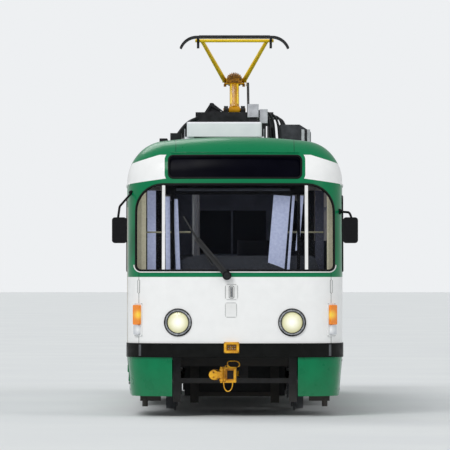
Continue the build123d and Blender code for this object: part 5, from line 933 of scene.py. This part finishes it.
upper = [(0.016, 0.545), (-0.060, 0.552), (-0.088, 0.585), (-0.080, 0.622), (0.012, 0.626), (0.052, 0.600),
         (0.050, 0.566), (0.020, 0.552)]
lower = [(-0.128, 0.392), (-0.124, 0.330), (-0.104, 0.292), (-0.078, 0.281), (-0.052, 0.292), (-0.030, 0.330),
         (-0.026, 0.392)]
turns = [i * math.pi / 6 for i in range(12)]
shackle = [(-0.095 + 0.015 * math.cos(a), 0.560 + 0.016 * math.sin(a)) for a in turns]
TIP_Y, POCKET_X, POCKET_Z = 6.862, 0.045, 0.468
for end, label in ENDS:
    body = f"{label}_drawbar"
    drawbar_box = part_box(f"{label}_drawbar")
    deep, away = land(surface_of(body), (end * POCKET_X, end * 9, POCKET_Z), (0, -end, 0))
    blocks_at(f"{label}_pocket_shade", [deep + away * 0.002], (0.085, 0.003, 0.095), cable_rubber, body)
    handles = [bent([(-end * x, end * TIP_Y, z) for x, z in loop], 0.03) for loop in (upper, lower)]
    tubes(f"{body}_handles", handles, 0.012, yellow_enamel, body)
    link = [Vector((-end * x, end * TIP_Y, z)) for x, z in shackle]
    tubes(f"{body}_ring", [link], 0.008, yellow_enamel, body, closed=True)
    corners = [round(c, 3) for corner in drawbar_box for c in corner]
    print(label, "pocket floor at", [round(c, 3) for c in deep], "drawbar box", corners)

# %% [markdown]
# ## Doors
# Each folding leaf closes on a soft rubber edge, and its two panes have their own rubber frames. A steel
# handrail is fixed inside. Everything here rides on its leaf, so it folds with the door.

# %% Door rubbers and handrails
DOORS = [("front", -5.4), ("middle", 0.0), ("rear", 5.4)]
PANES = [(0.56, 1.13), (1.24, 2.34)]
LEAF_SHIFTS = (("post_leaf", 0.487), ("inner_leaf", 0.163))
PANE_HALF, LEAF_LOW, LEAF_TOP, PROBE_Z, KICK_Z, GRIP_LOW, GRIP_TOP = 0.105, 0.385, 2.445, 1.185, 0.405, 1.05, 1.75
for label, middle_y in DOORS:
    for s, part in ((-1, "fore"), (1, "aft")):
        for leaf, shift in LEAF_SHIFTS:
            body = f"{label}_door_{part}_{leaf}"
            skin = surface_of(body)
            at_y = middle_y + s * shift
            face_x, back_x = [land(skin, (-n * 3, at_y, PROBE_Z), (n, 0, 0))[0].x for n in (1, -1)]
            runs = []
            for low, high in PANES:
                outline = rounded(at_y - PANE_HALF, at_y + PANE_HALF, low, high, 0.040, 0.2)
                for x, n in ((face_x - 0.001, -1), (back_x + 0.001, 1)):
                    runs.append(facing((n, 0, 0), [(x, u, v) for u, v in outline]))
            trim(f"{body}_seals", runs, 0.018, 0.010, seal_rubber, body)
            foot = facing((-1, 0, 0), [(face_x, at_y + i * 0.145, KICK_Z) for i in (-1, 0, 1)])
            trim(f"{body}_kick_strip", [foot], 0.040, 0.005, anodised, body, closed=False)
            if leaf == "inner_leaf":
                rail_y = middle_y + s * 0.034
                edge = facing((-1, 0, 0), [(face_x, rail_y, z) for z in (LEAF_LOW, 1.4, LEAF_TOP)])
                trim(f"{body}_edge_rubber", [edge], 0.044, 0.012, seal_rubber, body, closed=False)
                bends = ((-0.002, GRIP_LOW), (0.030, GRIP_LOW), (0.030, GRIP_TOP), (-0.002, GRIP_TOP))
                grip = bent([(back_x + x, rail_y, z) for x, z in bends], 0.025)
                tubes(f"{body}_grip", [grip], 0.022, brushed_pole, body)
print("door trim made; last leaf outer face x", round(face_x, 3), "inner", round(back_x, 3))

# %% [markdown]
# ## Roof gear
# The roof carries the cab's cooler, switch boxes, resistors and the pantograph. Bent conduits carry the
# wires down to the roof in a few smooth bends, so they are swept along bent lines.

# %% Conduits, feet and louvres
def on_roof(x, y, out=0.0):
    """Place on the roof under a point."""
    return land(shell, (x, y, 5), (0, 0, -1), out)[0]


lines = []
for i, (x, y) in enumerate(((0.400, -4.70), (0.450, -4.62), (0.505, -4.54), (0.560, -4.30), (0.600, -4.10))):
    high = 3.50 - 0.02 * i
    top = [(0.25, y + 0.05, high - 0.03), (x - 0.06, y, high + 0.01), (x, y, high - 0.10)]
    lines.append(bent([*top, on_roof(x + 0.02, y, -0.01)], 0.08))
tubes("switch_box_conduits", lines, 0.028, cable_rubber)
lines = []
for i in range(4):
    top = [(-0.44, -3.35 - 0.08 * i, 3.44), (-0.54 - 0.01 * i, -3.45 - 0.08 * i, 3.38)]
    low = [on_roof(-0.60 - 0.05 * i, -3.75, 0.016), on_roof(-0.66 - 0.05 * i, -4.3, -0.005)]
    lines.append(bent(top + low, 0.12))
tubes("pantograph_conduits", lines, 0.036, cable_rubber)


def plate(name, outline, near, far_y, finish):
    """Flat plate across the tram: (x, z) outline between two places along it."""
    mesh = bpy.data.meshes.new(name)
    count = len(outline)
    faces = [list(range(count)), list(range(2 * count - 1, count - 1, -1))]
    faces += [[(i + 1) % count, i, i + count, (i + 1) % count + count] for i in range(count)]
    mesh.from_pydata([(x, y, z) for y in (near, far_y) for x, z in outline], [], faces)
    mesh.materials.append(finish)
    add_piece(name, mesh, "root")


stop = [(-0.366, 3.455), (-0.318, 3.545), (-0.290, 3.620), (-0.250, 3.620), (-0.104, 3.455)]
plate("arm_stop_gusset", stop, -3.470, -3.462, frame_black)
plate("base_apron", [(-0.45, 3.345), (-0.45, 3.455), (0.44, 3.455), (0.44, 3.345)], -3.540, -3.534, frame_black)
COOLER_LEFT, COOLER_RIGHT, COOLER_Y, LOUVRE_Z, LID_Z = -0.574, 0.334, -5.32, 3.20, 3.332
pads = [on_roof(x, y, 0.006) for x in (-0.560, 0.345) for y in (-5.66, -5.00)]
blocks_at("cooler_feet", pads, (0.10, 0.06, 0.020), roof_grey)
slats = [(x, COOLER_Y + 0.04 * i, LOUVRE_Z) for x in (COOLER_LEFT, COOLER_RIGHT) for i in range(-5, 6)]
blocks_at("cooler_side_louvres", slats, (0.006, 0.022, 0.12), roof_grey)
lid = [(u, v, LID_Z) for u, v in rounded(-0.55, 0.31, -5.67, -4.98, 0.03, 0.1)]
trim("cooler_lid_seam", [facing((0, 0, 1), lid)], 0.006, 0.005, roof_grey)

resistors = surface_of("resistor_box")
BOX_END_Y, BOX_END_Z, FIN_PITCH, PLANK_PITCH = -4.503, 3.205, 0.0614, 0.085
fins = [land(resistors, (3, -4.46 + FIN_PITCH * i, 3.19), (-1, 0, 0))[0] - Vector((0, 0, 0.01)) for i in range(24)]
blocks_at("resistor_side_fins", fins, (0.010, 0.026, 0.130), roof_grey)
posts = [(x, BOX_END_Y, BOX_END_Z) for x in (0.795, 0.862)]
blocks_at("resistor_end_posts", posts, (0.034, 0.010, 0.150), roof_grey)
# A black strip in the slot between the end posts: painted shade.
blocks_at("resistor_slot_shade", [(0.828, BOX_END_Y, BOX_END_Z)], (0.014, 0.008, 0.150), frame_black)
planks = [(-0.821, -5.15 + PLANK_PITCH * i, 3.154) for i in range(30)]
blocks_at("walkway_slats", planks, (0.088, 0.055, 0.010), frame_black)
print("roof gear made, feet at z", [round(p.z, 3) for p in pads])

# %% [markdown]
# ## The pantograph's small parts
# The elbow has a ribbed bronze spring housing with caps and nuts. The lower arm is painted a darker, shaded copy of
# the arm yellow, and two lemon strips along its edges are painted highlights.
# The head carries two strips of carbon that wear down on the wire.

# %% Elbow, arm edges and carbon strips
LOWER, BOW = "pantograph_lower_arm", "pantograph_head"
ELBOW, FOOT, HEAD, CAP_X, ARM_HIGHLIGHT_X, STRIP_Y = (-2.30, 3.93), (-3.35, 3.54), (-3.40, 4.36), 0.112, 0.040, 0.122
HOOP_Y, HOOP_Z, HOOP_HALF, HOOP_RISE = -2.395, 3.893, 0.155, 0.112
hoops = []
for k in range(17):
    x = 0.0105 * (k - 8)
    rise = HOOP_RISE * math.sqrt(1 - (x / 0.108) ** 2) * (1.0 if k % 2 else 0.90)
    turns = [math.pi * i / 14 for i in range(15)]
    hoops.append([
        (Vector((x, HOOP_Y - HOOP_HALF * math.cos(a), HOOP_Z + rise * math.sin(a))),
         Vector((0, -math.cos(a), math.sin(a)))) for a in turns
    ])
trim("elbow_dome", hoops, 0.0102, 0.040, bronze_casting, LOWER, closed=False)
blocks_at("elbow_flange", [(0, -2.415, 3.884)], (0.244, 0.29, 0.018), arm_yellow_painted_shade, LOWER)
caps = [(Vector((s * CAP_X, *ELBOW)), Vector((s, 0, 0))) for s in SIDES]
heads_at("elbow_caps", caps, 0.034, 0.020, bronze_casting, LOWER, 16)
nuts = facing((0, 0, 1), [(s * CAP_X, -2.55, 3.862) for s in SIDES])
heads_at("elbow_nuts", nuts, 0.016, 0.034, bronze_casting, LOWER, 6)
rise = Vector((0, ELBOW[0] - FOOT[0], ELBOW[1] - FOOT[1]))
out = Vector((0, -rise.z, rise.y)).normalized()
# Two lemon strips on the ochre lower arm: painted highlights along the tube's edges.
edges = []
for s in SIDES:
    places = [Vector((s * ARM_HIGHLIGHT_X, *FOOT)) + rise * t + out * ARM_HIGHLIGHT_X for t in (0.10, 0.45, 0.80)]
    edges.append(facing((out + Vector((s, 0, 0))).normalized(), places))
trim("lower_arm_painted_highlights", edges, 0.026, 0.006, arm_enamel, LOWER, closed=False)
strips = [facing((0, 0, 1), [(x / 100, HEAD[0] + s * STRIP_Y, 4.412) for x in range(-42, 43, 6)]) for s in SIDES]
trim("carbon_strips", strips, 0.022, 0.016, carbon_strip, BOW, closed=False)
blocks_at("head_hangers", [(s * 0.43, HEAD[0], 4.325) for s in SIDES], (0.030, 0.050, 0.110), frame_black, BOW)
print("pantograph dressed")

# %% [markdown]
# ## Running gear
# A bogie is read by its springs and bolts. The springs are coils of real wire, and each wheel has a ring of bolts.
# Dark boards behind the wheels are painted shade: they stand for the shadow under the body where the solids leave a
# view through.

# %% Bogie springs, bolts and boards
SPRING_X, SPRING_FOOT, BEAM_Z, BOLT_R = 0.56, 0.478, 0.40, 0.115
for sign, label in ENDS:
    body = f"bogie_frame_{label}"
    pairs = facing((0, 0, 1), [(s * SPRING_X, sign * BOGIE_Y, SPRING_FOOT) for s in SIDES])
    coils_at(f"{label}_bogie_springs", pairs, 0.092, 0.112, 4.0, 0.011, frame_black, body)
    beam = surface_of(body)
    bolts = []
    for s in SIDES:
        for i in range(9):
            hit = beam.ray_cast(Vector((s * 2, sign * BOGIE_Y - 0.72 + 0.18 * i, BEAM_Z)), Vector((-s, 0, 0)))[0]
            if hit:
                bolts.append((hit, Vector((s, 0, 0))))
    heads_at(f"{label}_bogie_bolts", bolts, 0.014, 0.016, bogie_iron, body, 6)
axles = [bogie + axle for bogie in (-BOGIE_Y, BOGIE_Y) for axle in (-AXLE_HALF, AXLE_HALF)]
for i, y in enumerate(axles, start=1):
    disc = surface_of(f"wheelset_{i}")
    bolts = []
    for s in SIDES:
        for k in range(8):
            a = math.pi * k / 4
            start = (s * 2, y + BOLT_R * math.cos(a), AXLE_Z + BOLT_R * math.sin(a))
            bolts.append(land(disc, start, (-s, 0, 0)))
    heads_at(f"wheel_bolts_{i}", bolts, 0.012, 0.014, polished_steel, f"wheelset_{i}", 6)
for sign, label in ENDS:
    blocks_at(f"{label}_headstock", [(0, sign * 6.18, 0.610)], (1.22, 0.012, 0.112), chassis_paint)
    # Painted shade: a black board for the shadow under the body.
    blocks_at(f"{label}_shade_board", [(0, sign * 4.985, 0.515)], (1.16, 0.010, 0.640), cable_rubber)
print("bogie and wheel bolts made")

# %% [markdown]
# ## Skirt fasteners, mirrors and wiper
# The skirts are held by quarter-turn fasteners, so a fitter can drop them. The mirrors' glass looks back
# along the sides. The wiper has two arms side by side, which keep its blade upright across the screen.

# %% Small outside fittings
STUD_ROWS, STUD_PITCH, OUTSIDE_X = (0.615, 0.285), 0.68, 1.1
skirt = surface_of("skirt_panels")
studs = []
for s in SIDES:
    for i in range(19):
        for z in STUD_ROWS:
            hit = skirt.ray_cast(Vector((s * 2, -6.12 + STUD_PITCH * i, z)), Vector((-s, 0, 0)))[0]
            if hit and abs(hit.x) > OUTSIDE_X:
                studs.append((hit, Vector((s, 0, 0))))
heads_at("skirt_fasteners", studs, 0.013, 0.006, polished_steel)
MIRROR_X, MIRROR_Z = 1.296, 2.089
mirror_shell = surface_of("mirrors")
glass = [land(mirror_shell, (s * MIRROR_X, 0, MIRROR_Z), (0, -1, 0))[0] for s in SIDES]
blocks_at("mirror_glasses", glass, (0.130, 0.006, 0.240), polished_steel)
WIPER_X, WIPER_Z = -0.089, 1.580
heads_at("wiper_hub", [on_end(WIPER_X, WIPER_Z, 0.040)], 0.050, 0.050, seal_rubber, sides=24)
heads_at("wiper_hub_cap", [on_end(WIPER_X, WIPER_Z, 0.066)], 0.036, 0.012, cable_rubber, sides=24)
arms = [
    end_run([(WIPER_X - 0.335 * t + shift, WIPER_Z + 0.405 * t + 0.8 * shift) for t in (0.0, 0.33, 0.66, 1.0)], 0.052)
    for shift in (-0.016, 0.016)
]
trim("wiper_arms", arms, 0.024, 0.016, wiper_steel, closed=False)
print("mirror backs at y", [round(g.y, 3) for g in glass], "studs", len(studs))

# %% [markdown]
# ## Inside the saloon
# Through the glass one sees ceiling lamps, handrails, seats and the driver's desk. They are simple, but
# without them the tram looks like an empty box from every side.

# %% Saloon and cab
RAIL_X, LAMP_X, LAMP_PITCH, SCREEN_Y, POST_Y = 0.47, 0.42, 1.25, -6.57, -6.60
CORNER_Z, CORNER_TOP, SURROUND_LOW, SURROUND_TOP = 1.64, 2.54, 1.70, 2.76
LEFT_X, RIGHT_X, REAR_LOW, REAR_TOP, CURTAIN_LOW = -0.490, 0.450, 1.872, 2.466, 1.60
ceiling = surface_of("roof_shell", "front_end")
lamps = [land(ceiling, (s * LAMP_X, -5.0 + LAMP_PITCH * i, 1.5), (0, 0, 1), 0.012)[0] for s in SIDES for i in range(9)]
blocks_at("ceiling_lamps", lamps, (0.14, 0.95, 0.03), lamp_cover)
rails = [bent([(s * RAIL_X, -4.75, 2.72), (s * RAIL_X, 6.05, 2.72)], 0.1) for s in SIDES]
tubes("ceiling_handrails", rails, 0.032, brushed_pole)
hangers = [(s * RAIL_X, y, 2.87) for s in SIDES for y in (-4.7, -3.2, -1.7, -0.2, 1.3, 2.8, 4.3, 6.0)]
blocks_at("handrail_hangers", hangers, (0.018, 0.018, 0.30), brushed_pole)
ribs = [(x / 100, 0.0, 0.9235) for x in range(-40, 41, 8)]
blocks_at("floor_ribs", ribs, (0.018, 12.0, 0.003), floor_rubber)

desk = surface_of("cab_fittings")
dials = [land(desk, (x, y, 3), (0, 0, -1), 0.002) for x, y in ((-0.24, -6.70), (0.0, -6.72), (0.24, -6.70))]
heads_at("desk_dials", dials, 0.055, 0.010, seal_rubber, sides=24)
heads_at("desk_dial_faces", [(p + o * 0.006, o) for p, o in dials], 0.046, 0.002, roof_white, sides=24)
buttons = [land(desk, (0.42 + 0.045 * i, -6.68 + 0.045 * j, 3), (0, 0, -1), 0.005) for i in range(5) for j in (0, 1)]
heads_at("desk_buttons", buttons, 0.012, 0.014, orange_lens, sides=12)
blind = [Vector((x, -6.66, 2.545)) for x in (-0.66, 0.0, 0.62)]
tubes("sun_blind_roller", [blind], 0.030, partition_grey)
# A black band behind the top of the windscreen: painted shade for the shadow under the cab ceiling.
blocks_at("cab_ceiling_shade", [(0, POST_Y, 2.565)], (1.60, 0.02, 0.150), black_plastic)


def board(name, y, depth, x_from, x_to, z_from, z_to, finish):
    """Upright board across the tram."""
    middle = ((x_from + x_to) / 2, y, (z_from + z_to) / 2)
    blocks_at(name, [middle], (x_to - x_from, depth, z_to - z_from), finish)


for name, *edges in (
    ("left", -0.80, LEFT_X, SURROUND_LOW, SURROUND_TOP), ("right", RIGHT_X, 0.80, SURROUND_LOW, SURROUND_TOP),
    ("head", LEFT_X, RIGHT_X, REAR_TOP, SURROUND_TOP), ("foot", LEFT_X, RIGHT_X, SURROUND_LOW, REAR_LOW),
    ("mullion", -0.030, -0.004, REAR_LOW, REAR_TOP),
):
    board(f"rear_surround_{name}", 6.50, 0.03, *edges, partition_grey)
dash = [(-0.706, 1.60), (-0.706, 1.683), (-0.628, 1.74), (-0.531, 1.788), (-0.435, 1.804), (0.865, 1.804),
        (0.905, 1.770), (0.943, 1.663), (0.943, 1.60)]
plate("dash_top", dash[::-1], -6.50, -6.44, desk_plastic)
# The cream and lavender corner boards glow: painted light.
for name, x_from, x_to, finish in (
    ("cream_left", -1.136, -1.004, curtain_cream), ("cream_right", 1.040, 1.120, curtain_cream),
    ("pale_left", -0.990, -0.893, curtain_cloth), ("grey_right", 0.907, 1.005, curtain_grey),
    ("post_left", -0.893, -0.825, black_plastic), ("post_right", 0.823, 0.897, black_plastic),
):
    board(f"corner_{name}", -6.30, 0.010, x_from, x_to, CORNER_Z, CORNER_TOP, finish)
cab_lamps = [land(ceiling, (s * 0.45, -6.15, 1.8), (0, 0, 1), 0.012)[0] for s in SIDES]
blocks_at("cab_lamps", cab_lamps, (0.5, 0.16, 0.03), lamp_cover)
# These curtains are the lavender cloth, which glows: painted light.
for name, width, x_low, z_low, x_top, z_top in (
    ("left", 0.052, -0.752, CURTAIN_LOW, -0.757, 2.47), ("inner_left", 0.050, -0.638, CURTAIN_LOW, -0.668, 2.44),
    ("right", 0.190, 0.456, CURTAIN_LOW, 0.530, 2.48), ("inner_right", 0.030, 0.596, CURTAIN_LOW, 0.660, 2.48),
    ("tied", 0.042, 0.700, 1.86, 0.752, 2.48),
):
    low, top = Vector((x_low, SCREEN_Y, z_low)), Vector((x_top, SCREEN_Y, z_top))
    hang = facing((0, -1, 0), [low.lerp(top, t) for t in (0, 0.5, 1)])
    trim(f"curtain_{name}", [hang], width, 0.010, curtain_cloth, closed=False)
# A dark screen low behind the left of the windscreen, hiding the seats: painted shade for the dark interior there.
blocks_at("cab_corner_shade_screen", [(-0.79, -6.12, 1.60)], (0.64, 0.02, 0.44), partition_dark)
posts = [facing((0, -1, 0), [(x, POST_Y, z) for z in (1.62, 2.5)]) for x in (-0.700, 0.715)]
trim("screen_posts", posts, 0.036, 0.02, black_plastic, closed=False)
bars = [[Vector((s * x, -6.30, 2.07)) for x in (0.50, 0.75, 1.00)] for s in SIDES]
tubes("cab_grab_bars", bars, 0.022, grab_cream)
print("saloon fitted")

# %% [markdown]
# ## Floor, backdrop, lamps and camera
# The stage is plain: a pale floor, a sky of one pale grey and three broad lamps, so that paint renders
# about as it is written. The camera stands 60 m off with a long lens, as flat as the photograph's view.

# %% Stage
bm = bmesh.new()
bmesh.ops.create_grid(bm, x_segments=1, y_segments=1, size=400)
mesh = bpy.data.meshes.new("floor")
bm.to_mesh(mesh)
bm.free()
floor = bpy.data.objects.new("floor", mesh)
scene.collection.objects.link(floor)
mesh.materials.append(simple("pale_floor_paint", 3.0, "#d5d8d9", "#dadddd", (0.75, 0.85), roughness=0.8))

world = bpy.data.worlds.new("studio")
scene.world = world
world.use_nodes = True
sky = world.node_tree.nodes["Background"]
sky.inputs["Color"].default_value = paint("#eef0f2")
seen = add_node(world.node_tree, "ShaderNodeLightPath").outputs["Is Camera Ray"]
level = add_node(world.node_tree, "ShaderNodeMapRange", {"Value": seen, "To Min": 0.62, "To Max": 1.0})
plug(world.node_tree, sky.inputs["Strength"], level.outputs["Result"])

for name, turn, strength, width in (
    ("key_sun", (52, 0, -28), 1.3, 25), ("fill_sun", (60, 0, 60), 0.4, 40), ("rear_sun", (-50, 0, 20), 0.7, 30),
):
    light = bpy.data.lights.new(name, "SUN")
    light.energy, light.angle = strength, math.radians(width)
    lamp = bpy.data.objects.new(name, light)
    lamp.rotation_euler = [math.radians(a) for a in turn]
    scene.collection.objects.link(lamp)

lens_data = bpy.data.cameras.new("camera")
lens_data.sensor_width, lens_data.lens = 36, 429.7
lens_data.clip_end = 1000
camera = bpy.data.objects.new("camera", lens_data)
AIM = Vector((-0.112, -7, 2.145))
camera.location = (AIM.x, -67, 1.6)
camera.rotation_euler = (AIM - camera.location).to_track_quat("-Z", "Y").to_euler()
scene.collection.objects.link(camera)
scene.camera = camera
scene.view_settings.view_transform = "Standard"
print("camera at", tuple(camera.location))
